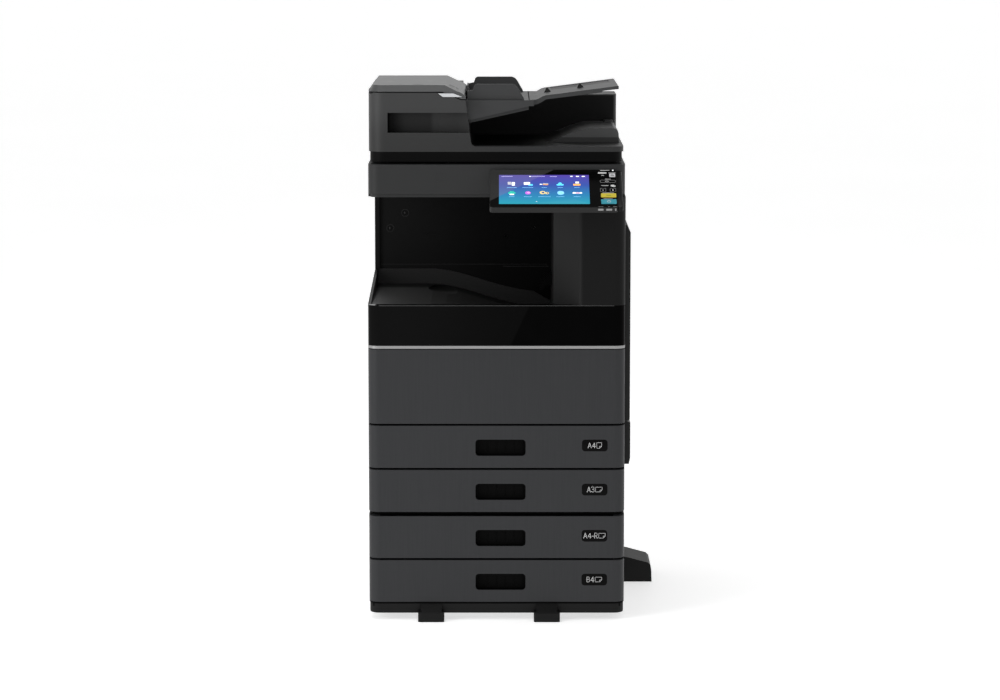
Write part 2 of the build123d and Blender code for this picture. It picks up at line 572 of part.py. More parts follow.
def fuser_unit():
    """Fuser above the paper path on the right, with its two rollers, and the transfer roller under it."""
    x0 = DOOR_PARTITION_X + WALL
    shell = block(x0, 262, -215, 200, 600, 700)
    shell -= block(x0 + 10, 263, -208, 193, 618, 682)
    hot = rod_y(x0 + 22, 650, 11.5, -211, 196)
    press = rod_y(x0 + 45.5, 650, 12, -211, 196)
    transfer = block(x0, x0 + 12, -200, 185, 520, 560) + rod_y(x0 + 16, 540, 9, -190, 175)
    return [shell, hot, press, transfer]


def power_unit():
    """Power supply on the bay floor, the mains inlet and the switch bezel in the rear cover."""
    supply = block(-262, -120, 205, INNER_X - 0.1, BAY_Z0, 548)
    inlet = block(*INLET_X, INNER_X - 0.1, YB + 1.5, *INLET_Z)
    inlet -= block(INLET_X[0] + 3, INLET_X[1] - 3, YB - 16, YB + 2, INLET_Z[0] + 4, INLET_Z[1] - 4)
    for dx, dz in ((-6, -2), (6, -2), (0, 4)):
        x, z = sum(INLET_X) / 2 + dx, sum(INLET_Z) / 2 + dz
        inlet += block(x - 1, x + 1, YB - 17, YB - 4, z - 2, z + 2)
    bezel = switch_window(INNER_X + 0.5, YB + 0.6, 3.4) - switch_window(INNER_X, YB + 2, 0.4)
    bezel -= rod_x(SWITCH_Y, SWITCH_Z, 1 + PIN_CLEAR, SWITCH_X - 8, SWITCH_X + 8)
    return [supply + inlet, bezel + switch_window(INNER_X - 0.1, INNER_X + 0.5, 3.4)]


def power_switch():
    y0 = INNER_X + 1.2
    half = SWITCH_H / 2
    rocker = [(y0 + 2.5, SWITCH_Z - half + 1), (y0 + 2.5, SWITCH_Z + half - 1), (YB + 0.4, SWITCH_Z + half - 0.3),
              (YB - 1.6, SWITCH_Z), (YB + 2.2, SWITCH_Z - half + 0.9)]
    shape = along_x(rocker, SWITCH_X - SWITCH_W / 2, SWITCH_X + SWITCH_W / 2)
    return shape + rod_x(SWITCH_Y, SWITCH_Z, 1, SWITCH_X - 7.5, SWITCH_X + 7.5)


# ---------------------------------------------------------------- right side doors


def side_profile(z0, z1, x1, top_chamfer, low_chamfer):
    x0 = HW + JOINT_CLEAR
    return [(x0, z0), (x1 - 3, z0), (x1, z0 + low_chamfer), (x1, z1 - top_chamfer), (x1 - 8, z1), (x0, z1)]


def side_knuckle(z0, z1):
    knuckle = rod_z(SIDE_HINGE_X, SIDE_HINGE_Y, 4.6, z0, z1)
    knuckle += block(SIDE_HINGE_X - 4.6, SIDE_HINGE_X + 4.6, SIDE_DOOR_Y1 - 2, SIDE_HINGE_Y, z0, z1)
    return knuckle - rod_z(SIDE_HINGE_X, SIDE_HINGE_Y, SIDE_PIN_R + PIN_CLEAR, z0 - 1, z1 + 1)


def right_door():
    door = along_y(side_profile(SIDE_DOOR_Z0, SIDE_DOOR_Z1, SIDE_DOOR_X1, 18, 4), SIDE_DOOR_Y0, SIDE_DOOR_Y1)
    y0, y1 = SIDE_DOOR_Y0 + WALL, SIDE_DOOR_Y1 - 14
    door -= block(HW, SIDE_DOOR_X1 - WALL, y0, y1, BYPASS_Z1 + 8, SIDE_DOOR_Z1 - 22)
    door -= block(HW, BYPASS_X0 - 2.3, y0, y1, SIDE_DOOR_Z0 + WALL, BYPASS_Z1 + 5)
    door -= block(BYPASS_X0 - JOINT_CLEAR, SIDE_DOOR_X1 + 1, -BYPASS_Y - 1, BYPASS_Y + 1, BYPASS_Z0 - 1.5, BYPASS_Z1 + 1)
    axis_z = BYPASS_Z0 + BYPASS_R
    door -= rod_y(BYPASS_X0 + BYPASS_R, axis_z, 2 + PIN_CLEAR, -BYPASS_Y - 8, BYPASS_Y + 8)
    for z0, z1 in side_knuckles()[:2]:
        door += side_knuckle(z0, z1)
    return door


def bypass_tray():
    axis_x, axis_z = BYPASS_X0 + BYPASS_R, BYPASS_Z0 + BYPASS_R
    tray = block(BYPASS_X0, SIDE_DOOR_X1, -BYPASS_Y, BYPASS_Y, axis_z, BYPASS_Z1)
    tray += rod_y(axis_x, axis_z, BYPASS_R, -BYPASS_Y, BYPASS_Y)
    tray -= block(SIDE_DOOR_X1 - 4, SIDE_DOOR_X1 + 1, -40, 40, BYPASS_Z1 - 16, BYPASS_Z1 + 1)
    return tray + rod_y(axis_x, axis_z, 2, -BYPASS_Y - 7, BYPASS_Y + 7)


def feed_door():
    door = along_y(side_profile(FEED_DOOR_Z0, FEED_DOOR_Z1, FEED_DOOR_X1, 4, 14), FEED_DOOR_Y0, SIDE_DOOR_Y1)
    door -= block(HW, FEED_DOOR_X1 - WALL, FEED_DOOR_Y0 + WALL, SIDE_DOOR_Y1 - 14, FEED_DOOR_Z0 + 17, FEED_DOOR_Z1 - 7)
    return door + side_knuckle(*side_knuckles()[2])


# ---------------------------------------------------------------- scanner


def scanner_tub():
    """Lower housing of the scanner with its two carriage rods."""
    tub = block(-SCAN_HW, SCAN_HW, FRAME_Y, SCAN_HW, SCAN_Z0, SCAN_Z1 - 5)
    tub -= block(-SCAN_HW + WALL, SCAN_HW - WALL, FRAME_Y + WALL, SCAN_HW - WALL, SCAN_Z0 + WALL, SCAN_Z1)
    rods = [rod_x(y, RAIL_Z, RAIL_R, -SCAN_HW + WALL, SCAN_HW - WALL) for y in RAIL_Y]
    return [tub] + rods


def scanner_front_cover():
    """Front cover with an undercut lip, an embossed reader mark, and the arms that hold the control panel."""
    shell = rounded_front(SCAN_HW, SCAN_LIP, SCAN_Z1, FRAME_Y, CORNER_R)
    rims = shell.edges().group_by(Axis.Z)[-1] + shell.edges().group_by(Axis.Z)[0]
    shell = fillet([e for e in rims if abs(e.center().Y - FRAME_Y) > 0.5], EDGE_R)
    shell += rounded_front(SCAN_HW - 5, SCAN_Z0, SCAN_LIP + 1, FRAME_Y, CORNER_R - 5, YF + 5)
    shell -= rounded_front(SCAN_HW - 8, SCAN_Z0 + WALL, SCAN_Z1 - WALL, FRAME_Y + 1, CORNER_R - 8, YF + 8)
    mark_x, mark_z, half = -127.0, 1018.0, 9.0
    mark = block(mark_x - half, mark_x + half, YF - 1, YF + 0.4, mark_z - half, mark_z + half)
    mark = fillet(mark.edges().filter_by(Axis.Y), 3)
    core = block(mark_x - half + 1.2, mark_x + half - 1.2, YF - 1, YF + 0.4, mark_z - half + 1.2, mark_z + half - 1.2)
    mark -= fillet(core.edges().filter_by(Axis.Y), 2)
    shell -= mark
    py, pz = panel_point(PANEL_PIVOT_S, PANEL_PIVOT_D)
    for x in PANEL_ARMS:
        x0, x1 = x - ARM_W / 2, x + ARM_W / 2
        arm = along_x([(py, pz - 4), (py, pz + 4), (YF + 2, pz + 1), (YF + 2, pz - 12)], x0, x1)
        arm += rod_x(py, pz, 4, x0, x1)
        shell += arm + rod_x(py, pz, PANEL_PIN_R, x0 - 9, x1 + 9)
    return shell


def glass_seat(limits, grow, z0, z1):
    return block(limits[0] - grow, limits[1] + grow, limits[2] - grow, limits[3] + grow, z0, z1)


def scanner_top_frame():
    """Top frame with ledges for the two glasses, and the two hinge stands of the document feeder."""
    frame = block(-SCAN_HW, SCAN_HW, FRAME_Y, SCAN_HW, SCAN_Z1 - 5, SCAN_Z1)
    frame -= glass_seat(GLASS, FIT, SCAN_Z1 - GLASS_T, SCAN_Z1 + 1)
    frame -= glass_seat(READ_GLASS, FIT, SCAN_Z1 - GLASS_T, SCAN_Z1 + 1)
    frame -= glass_seat(GLASS, -LEDGE, SCAN_Z1 - 6, SCAN_Z1)
    frame -= glass_seat(READ_GLASS, -LEDGE / 2, SCAN_Z1 - 6, SCAN_Z1)
    for x in ADF_HINGE_X:
        for x0 in (x - 20, x + 12):
            frame += block(x0, x0 + 8, ADF_HINGE_Y - 12, ADF_HINGE_Y + 12, SCAN_Z1 - 1, ADF_HINGE_Z + 8)
        frame += rod_x(ADF_HINGE_Y, ADF_HINGE_Z, ADF_PIN_R, x - 16, x + 16)
    return frame


def scanner_glasses():
    return [glass_seat(GLASS, 0, SCAN_Z1 - GLASS_T, SCAN_Z1), glass_seat(READ_GLASS, 0, SCAN_Z1 - GLASS_T, SCAN_Z1)]


def scan_carriage():
    x0, x1 = CARRIAGE_X0, CARRIAGE_X0 + CARRIAGE_W
    carriage = block(x0, x1, -178, 143, RAIL_Z - 9, SCAN_Z1 - 12)
    carriage -= block(x0 + 6, x1 - 6, -165, 130, RAIL_Z + 14, SCAN_Z1 - 10)
    for y in RAIL_Y:
        carriage -= rod_x(y, RAIL_Z, RAIL_R + PIN_CLEAR, x0 - 1, x1 + 1)
    return carriage


# ---------------------------------------------------------------- document feeder


def adf_plate(inset, back, z0, z1, r):
    plate = block(ADF_X0 + inset, ADF_X1 - inset, ADF_Y0 + inset, back, z0, z1)
    return fillet(vertical_edges(plate, y=ADF_Y0 + inset), r)


def adf_base():
    """Dark strip around the underside of the feeder, closed below and open above."""
    inset = ADF_STRIP_IN
    base = adf_plate(inset, REAR_Y1 - 2, ADF_Z0, ADF_BODY_Z0, ADF_CORNER_R - inset)
    return base - adf_plate(inset + WALL, REAR_Y1 - 5, ADF_Z0 + WALL, ADF_BODY_Z0 + 1, ADF_CORNER_R - inset - WALL)


def ramp_outline():
    """Side view of the exit ramp: a hollow curve up to the right, then level."""
    points = []
    steps = 8
    for i in range(steps + 1):
        share = i / steps
        points.append((92 + 128 * share, ADF_RIM_Z - 2 + 34 * (1 - math.cos(math.pi * share)) / 2))
    return points + [(270, 1119.3), (277, 1116), (280, 1108), (281, ADF_RIM_Z - 2)]


def adf_left_profile():
    top_x, top_z = BODY_SLANT_TOP
    return [(ADF_X0, ADF_BODY_Z0), (ADF_X0, ADF_TOP_Z), (-122, ADF_TOP_Z), (-80, top_z), (top_x, top_z),
            BODY_SLANT_LOW, (-55, 1090), (-49, ADF_RIM_Z), (-40, ADF_BODY_Z0)]


def slant_x(z):
    """X of the slanting right-hand face of the feeder's left part, at a height."""
    (x0, z0), (x1, z1) = BODY_SLANT_TOP, BODY_SLANT_LOW
    return x0 + (x1 - x0) * (z - z0) / (z1 - z0)


def adf_body():
    """Body moulding: tall left part with the finger slot, low right part with the exit ramp."""
    left = along_y(adf_left_profile(), ADF_Y0, COVER_BACK)
    left = fillet(vertical_edges(left, x=ADF_X0, y=ADF_Y0), ADF_CORNER_R)
    low = block(-60, ADF_X1, ADF_Y0, REAR_Y0, ADF_BODY_Z0, ADF_RIM_Z)
    low = fillet(vertical_edges(low, x=ADF_X1, y=ADF_Y0), 28)
    low -= block(-40, ADF_X1 - 10, ADF_Y0 + 10, REAR_Y0 - 8, ADF_BODY_Z0 - 1, ADF_RIM_Z - WALL)
    ramp = along_y(ramp_outline(), RAMP_Y0, REAR_Y0)
    ramp -= along_y([(x, z - WALL) for x, z in ramp_outline()[3:-3]] + [(270, 1084), (150, 1080)],
                    RAMP_Y0 + WALL, REAR_Y0 - WALL)
    wall = WALL
    body = left + low + ramp
    body -= block(ADF_X0 + wall, -84, ADF_Y0 + 44, COVER_BACK - wall, ADF_BODY_Z0 + 12, ADF_TOP_Z + 1)
    body -= block(ADF_X0 + 36, -120, ADF_Y0 + 6, ADF_Y0 + 41, SLOT_Z1 + 8, ADF_TOP_Z + 1)
    body -= finger_slot()
    body -= rod_y(NOSE_X, NOSE_Z, NOSE_R + 0.6, ADF_Y0 - 1, COVER_BACK + 1)
    return body - latch_shape(0.8, ADF_Y0 + 7)


def finger_slot():
    y0, y1 = ADF_Y0 - 1, ADF_Y0 + SLOT_DEPTH
    edge = Curve() + [
        Line((SLOT_X0, y0), (SLOT_X0, y1 - 10)),
        ThreePointArc((SLOT_X0, y1 - 10), (SLOT_X0 + 3, y1 - 3), (SLOT_X0 + 10, y1)),
        Line((SLOT_X0 + 10, y1), (-130, y1)),
        ThreePointArc((-130, y1), (-90, y1 - 5), (-40, y1 - 20)),
        Line((-40, y1 - 20), (-40, y0)),
        Line((-40, y0), (SLOT_X0, y0)),
    ]
    return extrude(Pos(0, 0, SLOT_Z0) * make_face(edge), SLOT_Z1 - SLOT_Z0)


def latch_shape(grow, back):
    points = [(-131.5 - 2 * grow, 1206.6 + grow), (-97.5 + grow, 1206.6 + grow), (-77 + 4 * grow, 1198.7 - grow),
              (-121 - 2 * grow, 1198.7 - grow)]
    return along_y(points, ADF_Y0 - 1 - grow, back)


def adf_latch():
    return latch_shape(0, ADF_Y0 + 3.5)


def adf_top_cover():
    def tapered(inset, z0, z1):
        width = COVER_END_X + 40 - ADF_X0 - 2 * inset
        depth = COVER_BACK - ADF_Y0 - 2 * inset
        plan = Rectangle(width, depth)
        plan = fillet(plan.vertices().group_by(Axis.X)[0].group_by(Axis.Y)[0], ADF_CORNER_R - inset)
        middle = (ADF_X0 + inset + width / 2, ADF_Y0 + inset + depth / 2, z0)
        return Pos(*middle) * extrude(plan, z1 - z0, taper=COVER_TAPER)

    low_end = (COVER_END_X, COVER_Z0 - 16.5)
    slope = [(ADF_X0 - 5, COVER_Z0), (-120, COVER_Z0), (-79.6, COVER_Z0 - 16.5), low_end,
             (COVER_END_X, COVER_Z0 - 11), (COVER_END_X - 3, COVER_Z0 - 7), (COVER_BEND_X, COVER_Z1),
             (ADF_X0 - 5, COVER_Z1)]
    wedge = along_y(slope, ADF_Y0 - 5, COVER_BACK + 5)
    cover = tapered(0, COVER_Z0, COVER_Z1) & wedge
    nose_end = along_y([(-122, COVER_Z0), (-79.6, COVER_Z0 - 16.5), low_end, (COVER_END_X, COVER_Z0 - 11),
                        (COVER_END_X - 3, COVER_Z0 - 7), (-84.5, COVER_Z0)], ADF_Y0, COVER_BACK)
    cover += nose_end
    hollow = tapered(WALL, COVER_Z0 - 1, COVER_Z1 - WALL) & block(NOSE_X + NOSE_R, -124, -500, 500, 0, 2000)
    cover -= hollow
    cover += rod_y(NOSE_X, NOSE_Z, NOSE_R, ADF_Y0 + ADF_CORNER_R, COVER_BACK - 8)
    return cover - latch_shape(0.8, ADF_Y0 + 7)


def adf_rear_cover():
    """Rear housing of the feeder with the hinge knuckles."""
    left = BODY_SLANT_TOP[0]
    plan = [(ADF_X0, COVER_BACK), (left, COVER_BACK), (left, REAR_Y0), (ADF_X1 - 4, REAR_Y0),
            (ADF_X1 - 4, REAR_Y1), (ADF_X0, REAR_Y1)]
    shell = along_z(plan, ADF_BODY_Z0, REAR_Z1)
    shell = fillet(vertical_edges(shell, x=ADF_X1 - 4), 10)
    shell += block(ADF_X0, -80, COVER_BACK, REAR_Y1, REAR_Z1 - 1, ADF_TOP_Z)
    inside = (ADF_BODY_Z0 - 1, REAR_Z1 - WALL)
    shell -= block(ADF_X0 + WALL, ADF_X1 - 4 - WALL, COVER_BACK + WALL, REAR_Y1 - WALL, *inside)
    shell -= block(-37, ADF_X1 - 4 - WALL, REAR_Y0 + WALL, COVER_BACK + WALL + 1, *inside)
    shell -= along_y(adf_left_profile(), REAR_Y0 - 1, COVER_BACK)
    solids = [shell]
    for x in ADF_HINGE_X:
        arm = block(x - 11.5, x + 11.5, REAR_Y1 - 2, ADF_HINGE_Y, ADF_HINGE_Z - 10.5, ADF_HINGE_Z + 10.5)
        arm += rod_x(ADF_HINGE_Y, ADF_HINGE_Z, 10.5, x - 11.5, x + 11.5)
        solids.append(arm - rod_x(ADF_HINGE_Y, ADF_HINGE_Z, ADF_PIN_R + PIN_CLEAR, x - 20, x + 20))
    return solids


def input_tray_base():
    """Wedge under the feed entrance; its side walls hold the pins of the lifting tray."""
    right = FEED_AXIS_X - FEED_ROOT_R - 0.7
    low_z = 1144.8
    wedge = [(slant_x(FLOOR_IN_Z), FLOOR_IN_Z), (right, FLOOR_IN_Z), (right, 1175.5), (-57.2, low_z),
             (slant_x(low_z), low_z)]
    base = along_y(wedge, YF + 47, REAR_Y0)
    lip = [(-62, 1146), (-62, 1137), (right, 1167), (right, 1178)]
    base += along_y(lip, YF + 62, REAR_Y0)
    base -= along_y([(-50, 1180), (-50, 1153), (right - 12, 1179), (right - 12, 1180)], YF + 52, REAR_Y0 - 8)
    for y0, y1 in ((YF + 47, YF + 52), (FEED_Y1 + 8, FEED_Y1 + 13)):
        base += block(right - 1, FEED_AXIS_X + 5, y0, y1, 1176, FLOOR_IN_Z)
    base += rod_y(FEED_AXIS_X, FEED_AXIS_Z, FEED_PIN_R, YF + 50, FEED_Y0 + 12)
    return base + rod_y(FEED_AXIS_X, FEED_AXIS_Z, FEED_PIN_R, FEED_Y1 - 12, FEED_Y1 + 10)


def feed_tray():
    """Lifting input tray: round root, S-shaped step, then a gentle slope up to a thin stop at the end."""
    top = [(FEED_AXIS_X, FEED_AXIS_Z + 6), (88, 1189.9), (94, 1191.5), (104, 1197.3), (112, 1199.8), (275, 1220.9)]
    low = [(277, 1219.3), (276.5, 1213.8), (240, 1209.6), (238, 1206.2), (112, 1190.5), (100, 1183),
           (92, 1179.5), (FEED_AXIS_X, FEED_AXIS_Z - 6)]
    tray = along_y(top + low, FEED_Y0, FEED_Y1)
    tray += rod_y(FEED_AXIS_X, FEED_AXIS_Z, FEED_ROOT_R, FEED_Y0, FEED_Y1)
    slope = (1220.9 - 1199.8) / (275 - 112)
    top_z = [1199.8 + slope * (x - 112) for x in (126, 226, 262)]
    tray -= along_y([(126, 1180), (226, 1190), (226, top_z[1] - 4.5), (126, top_z[0] - 4.5)], FEED_Y0 + 8, FEED_Y1 - 8)
    tray -= along_y([(126, top_z[0] - 1.8), (126, 1215), (262, 1230), (262, top_z[2] - 1.8)],
                    FEED_Y0 + 190, FEED_Y0 + 290)
    return tray - rod_y(FEED_AXIS_X, FEED_AXIS_Z, FEED_PIN_R + PIN_CLEAR, FEED_Y0 - 1, FEED_Y1 + 1)


def guide(y_outer, side):
    """Paper side guide: an upright plate with a foot on the tray. side is the way its foot points."""
    z0 = FLOOR_IN_Z + JOINT_CLEAR
    plate = [(-66, z0), (-66, 1209.5), (-54, 1212), (-50.5, 1222), (-46, 1225.3), (36, 1225.3), (43, 1222.5),
             (48, 1217), (62, z0 + 3), (62, z0)]
    ys = sorted((y_outer, y_outer + side * GUIDE_T))
    shape = along_y(plate, *ys)
    foot = sorted((y_outer, y_outer + side * 52))
    return shape + block(-44, 44, *foot, z0, z0 + 1.8)


def backing_pad():
    return block(-205, 240, -175, 140, SCAN_Z1 + JOINT_CLEAR, ADF_Z0)


# ---------------------------------------------------------------- control panel


def panel_point(s, depth):
    """Y and Z of a point s down the panel from its top edge and depth below its surface."""
    a = math.radians(PANEL_TILT)
    return (PANEL_TOP_Y - s * math.cos(a) + depth * math.sin(a), PANEL_TOP_Z - s * math.sin(a) - depth * math.cos(a))


def on_panel(shape):
    """Place a shape drawn with X across, -Y down the panel and Z out of its surface."""
    return Pos(0, PANEL_TOP_Y, PANEL_TOP_Z) * Rot(PANEL_TILT, 0, 0) * shape


def panel_housing():
    x1 = PANEL_X0 + PANEL_W
    body = block(PANEL_X0, x1, -PANEL_L, 0, -PANEL_T, 0)
    body = fillet(body.edges().filter_by(Axis.Z), 7)
    body = fillet(body.edges().group_by(Axis.Z)[-1], 2)
    body -= block(PANEL_X0 + 5, SCREEN[1] + 10, -PANEL_L + 4, -5, -GLASS_IN, 1)
    for x0, x1, s0, s1 in KEYS.values():
        body -= block(x0 - JOINT_CLEAR, x1 + JOINT_CLEAR, -s1 - JOINT_CLEAR, -s0 + JOINT_CLEAR, -4, 1)
    for x in PANEL_ARMS:
        half = ARM_W / 2 + 0.7
        body -= block(x - half, x + half, -PANEL_PIVOT_S - 10, 1, -PANEL_T - 1, -3)
        body -= rod_x(-PANEL_PIVOT_S, -PANEL_PIVOT_D, PANEL_PIN_R + PIN_CLEAR, x - half - 10, x + half + 10)
    return on_panel(body)


def touch_screen():
    return on_panel(block(PANEL_X0 + 5, SCREEN[1] + 10, -PANEL_L + 4, -5, -GLASS_IN, 0))


def panel_key(name):
    x0, x1, s0, s1 = KEYS[name]
    key = block(x0, x1, -s1, -s0, -4 + KEY_TRAVEL + 0.2, 0.9)
    key = fillet(key.edges().filter_by(Axis.Z), 1.5)
    return on_panel(fillet(key.edges().group_by(Axis.Z)[-1], 0.4))


# ---------------------------------------------------------------- the whole set


def all_parts():
    parts = {
        "base_skirt": base_skirt(),
        "stabilisers": stabilisers(),
        "pedestal_frame": pedestal_frame(),
        "drawer_rails": drawer_rails(),
        "main_frame": main_frame(),
        "upper_frame": upper_frame(),
        "side_covers": side_covers(),
        "rear_covers": rear_covers(),
        "front_fascia": front_fascia(),
        "front_door": front_door(),
        "output_tray": output_tray(),
        "back_wall": back_wall(),
        "pillar_cover": pillar_cover(),
        "exit_roller": exit_roller(),
        "toner_cartridges": toner_cartridges(),
        "drum_units": drum_units(),
        "transfer_belt_unit": transfer_belt_unit(),
        "laser_unit": laser_unit(),
        "fuser_unit": fuser_unit(),
        "power_unit": power_unit(),
        "power_switch": power_switch(),
        "right_door": right_door(),
        "bypass_tray": bypass_tray(),
        "feed_door": feed_door(),
        "scanner_tub": scanner_tub(),
        "scanner_front_cover": scanner_front_cover(),
        "scanner_top_frame": scanner_top_frame(),
        "scanner_glasses": scanner_glasses(),
        "scan_carriage": scan_carriage(),
        "adf_base": adf_base(),
        "adf_body": adf_body(),
        "adf_rear_cover": adf_rear_cover(),
        "adf_top_cover": adf_top_cover(),
        "adf_latch": adf_latch(),
        "input_tray_base": input_tray_base(),
        "feed_tray": feed_tray(),
        "guide_front": guide(FEED_Y0 - GUIDE_T / 2, 1),
        "guide_rear": guide(FEED_Y1 + GUIDE_T / 2, -1),
        "backing_pad": backing_pad(),
        "panel_housing": panel_housing(),
        "touch_screen": touch_screen(),
    }
    for number, z0 in DRAWER_Z.items():
        parts[f"drawer_{number}_front"] = drawer_front(z0)
        parts[f"drawer_{number}_tray"] = drawer_tray(z0)
    for name in KEYS:
        parts[name] = panel_key(name)
    for number, (x, y) in enumerate(castor_places(), 1):
        parts[f"castor_{number}_fork"] = castor_fork(x, y)
        parts[f"castor_{number}_wheel"] = castor_wheel(x, y)
    return parts


def write_parts():
    os.makedirs("parts", exist_ok=True)
    for name, shape in all_parts().items():
        if isinstance(shape, list):
            shape = Compound(children=[solid for item in shape for solid in item.solids()])
        export_step(shape, f"parts/{name}.step")


if __name__ == "__main__":
    write_parts()
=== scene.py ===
"""Looks of a free-standing photocopier: plastics, glass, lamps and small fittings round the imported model.

Everything is in metres in the model's own frame: X to the right, Y to the back, Z up, origin on the
floor under the middle of the body. Small fittings are drawn in millimetres and scaled once, in build().
"""

import math

import bpy
from mathutils import Matrix, Vector


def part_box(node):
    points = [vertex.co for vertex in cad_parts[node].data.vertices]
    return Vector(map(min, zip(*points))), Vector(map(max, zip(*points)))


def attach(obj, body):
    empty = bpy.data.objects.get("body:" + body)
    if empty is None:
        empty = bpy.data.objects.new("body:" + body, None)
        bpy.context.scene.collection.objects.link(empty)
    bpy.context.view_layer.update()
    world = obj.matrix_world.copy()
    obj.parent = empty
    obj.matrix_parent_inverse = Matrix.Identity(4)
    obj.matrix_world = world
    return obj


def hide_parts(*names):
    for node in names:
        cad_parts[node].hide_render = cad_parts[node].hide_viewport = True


MM = 0.001
GRAIN_SCALE = 1500.0
GRAIN_DEPTH = 0.00004

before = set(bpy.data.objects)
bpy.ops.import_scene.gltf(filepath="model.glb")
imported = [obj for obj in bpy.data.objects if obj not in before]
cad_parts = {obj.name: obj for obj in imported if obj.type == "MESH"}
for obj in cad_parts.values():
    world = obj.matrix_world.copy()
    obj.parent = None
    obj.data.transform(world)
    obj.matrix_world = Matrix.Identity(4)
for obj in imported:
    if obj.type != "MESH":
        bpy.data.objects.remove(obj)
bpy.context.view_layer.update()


# ---------------------------------------------------------------- shader tools


class Value:
    """One output of a shader node. Arithmetic on it adds Math nodes."""

    def __init__(self, finish, socket):
        self.finish = finish
        self.socket = socket

    def maths(self, operation, first, second):
        inputs = {0: first, 1: second}
        return self.finish.node("ShaderNodeMath", {"operation": operation}, inputs)["Value"]

    def __add__(self, other):
        return self.maths("ADD", self, other)

    __radd__ = __add__

    def __sub__(self, other):
        return self.maths("SUBTRACT", self, other)

    def __rsub__(self, other):
        return self.maths("SUBTRACT", other, self)

    def __mul__(self, other):
        return self.maths("MULTIPLY", self, other)

    __rmul__ = __mul__

    def __truediv__(self, other):
        return self.maths("DIVIDE", self, other)

    def __rtruediv__(self, other):
        return self.maths("DIVIDE", other, self)

    def __pow__(self, other):
        return self.maths("POWER", self, other)

    def __gt__(self, other):
        return self.maths("GREATER_THAN", self, other)

    def __lt__(self, other):
        return self.maths("LESS_THAN", self, other)

    def __mod__(self, other):
        return self.maths("MODULO", self, other)

    def __abs__(self):
        return self.maths("ABSOLUTE", self, 0.0)

    def ramp(self, low, high):
        """0 below low, 1 above high, and smooth between."""
        inputs = {"Value": self, "From Min": low, "From Max": high}
        settings = {"interpolation_type": "SMOOTHSTEP"}
        return self.finish.node("ShaderNodeMapRange", settings, inputs)["Result"]


class NodeTree:
    """A node tree being filled. Every node is added by node()."""

    def __init__(self, tree):
        self.tree = tree
        self.tree.nodes.clear()

    def node(self, kind, settings=None, inputs=None):
        """Adds a node: its settings first, then the values or links of its sockets. Gives its outputs."""
        made = self.tree.nodes.new(kind)
        for key, value in (settings or {}).items():
            if key == "stops":
                set_stops(made.color_ramp, value)
            else:
                setattr(made, key, value)
        for key, value in (inputs or {}).items():
            if isinstance(value, Value):
                self.tree.links.new(value.socket, made.inputs[key])
            else:
                made.inputs[key].default_value = value
        return {out.name: Value(self, out) for out in made.outputs if out.enabled}

    def parts(self, vector):
        split = self.node("ShaderNodeSeparateXYZ", None, {"Vector": vector})
        return split["X"], split["Y"], split["Z"]

    def ramp(self, share, stops):
        return self.node("ShaderNodeValToRGB", {"stops": stops}, {"Fac": share})["Color"]


class Finish(NodeTree):
    """One material under construction, with the place on the model as its coordinates."""

    def __init__(self, name):
        self.material = bpy.data.materials.new(name)
        self.material.use_nodes = True
        super().__init__(self.material.node_tree)
        self.place = self.node("ShaderNodeTexCoord")["Object"]
        self.x, self.y, self.z = self.parts(self.place)

    def stretched(self, scale):
        return self.node("ShaderNodeMapping", None, {"Vector": self.place, "Scale": scale})["Vector"]

    def noise(self, scale, detail=2.0, place=None):
        inputs = {"Vector": place or self.place, "Scale": scale, "Detail": detail}
        return self.node("ShaderNodeTexNoise", None, inputs)["Fac"]

    def cells(self, scale, feature="F1"):
        inputs = {"Vector": self.place, "Scale": scale}
        return self.node("ShaderNodeTexVoronoi", {"feature": feature}, inputs)

    def mix(self, first, second, share):
        """Between two colours, by a share from 0 to 1."""
        inputs = {"Factor": share, 6: first, 7: second}
        return self.node("ShaderNodeMix", {"data_type": "RGBA"}, inputs)["Result"]

    def tones(self, low, high, share, warm=0.0):
        """Between two near-neutral levels."""
        return self.mix(grey(low, warm), grey(high, warm), share)

    def grain(self):
        """Fine speck of moulded plastic, and that speck mixed with a slow drift of tone."""
        drift = self.noise(5.0, 2.0)
        speck = self.noise(GRAIN_SCALE, 3.0)
        return speck, 0.45 * drift + 0.55 * speck

    def plastic(self, colour, roughness, specular, speck, unevenness=0.08):
        """Shader of grained plastic in a given colour."""
        return self.shader(color=colour, roughness=roughness + unevenness * speck,
                           specular_ior_level=specular, normal=self.bump(speck, 0.35, GRAIN_DEPTH))

    def bump(self, height, strength, distance, under=None):
        inputs = {"Height": height, "Strength": strength, "Distance": distance}
        if under is not None:
            inputs["Normal"] = under
        return self.node("ShaderNodeBump", None, inputs)["Normal"]

    def blend(self, first, second, share):
        return self.node("ShaderNodeMixShader", None, {"Fac": share, 1: first, 2: second})["Shader"]

    def along(self, origin, direction):
        """Distance of a point from origin along a direction."""
        inputs = {0: self.place, 1: tuple(direction)}
        dot = self.node("ShaderNodeVectorMath", {"operation": "DOT_PRODUCT"}, inputs)["Value"]
        return dot - Vector(origin).dot(Vector(direction))

    def shader(self, **sockets):
        names = {"Base Color" if key == "color" else key.replace("_", " ").title(): value
                 for key, value in sockets.items()}
        fixed = {"Specular Ior Level": "Specular IOR Level", "Ior": "IOR"}
        inputs = {fixed.get(key, key): value for key, value in names.items()}
        return self.node("ShaderNodeBsdfPrincipled", None, inputs)["BSDF"]

    def done(self, shader):
        self.node("ShaderNodeOutputMaterial", None, {"Surface": shader})
        return self.material


def set_stops(ramp, stops):
    while len(ramp.elements) < len(stops):
        ramp.elements.new(0.5)
    for element, (position, colour) in zip(ramp.elements, stops):
        element.position = position
        element.color = colour


def grey(level, warm=0.0):
    """A near-neutral linear colour."""
    return (level * (1 + warm), level, level * (1 - warm), 1)


# ---------------------------------------------------------------- materials


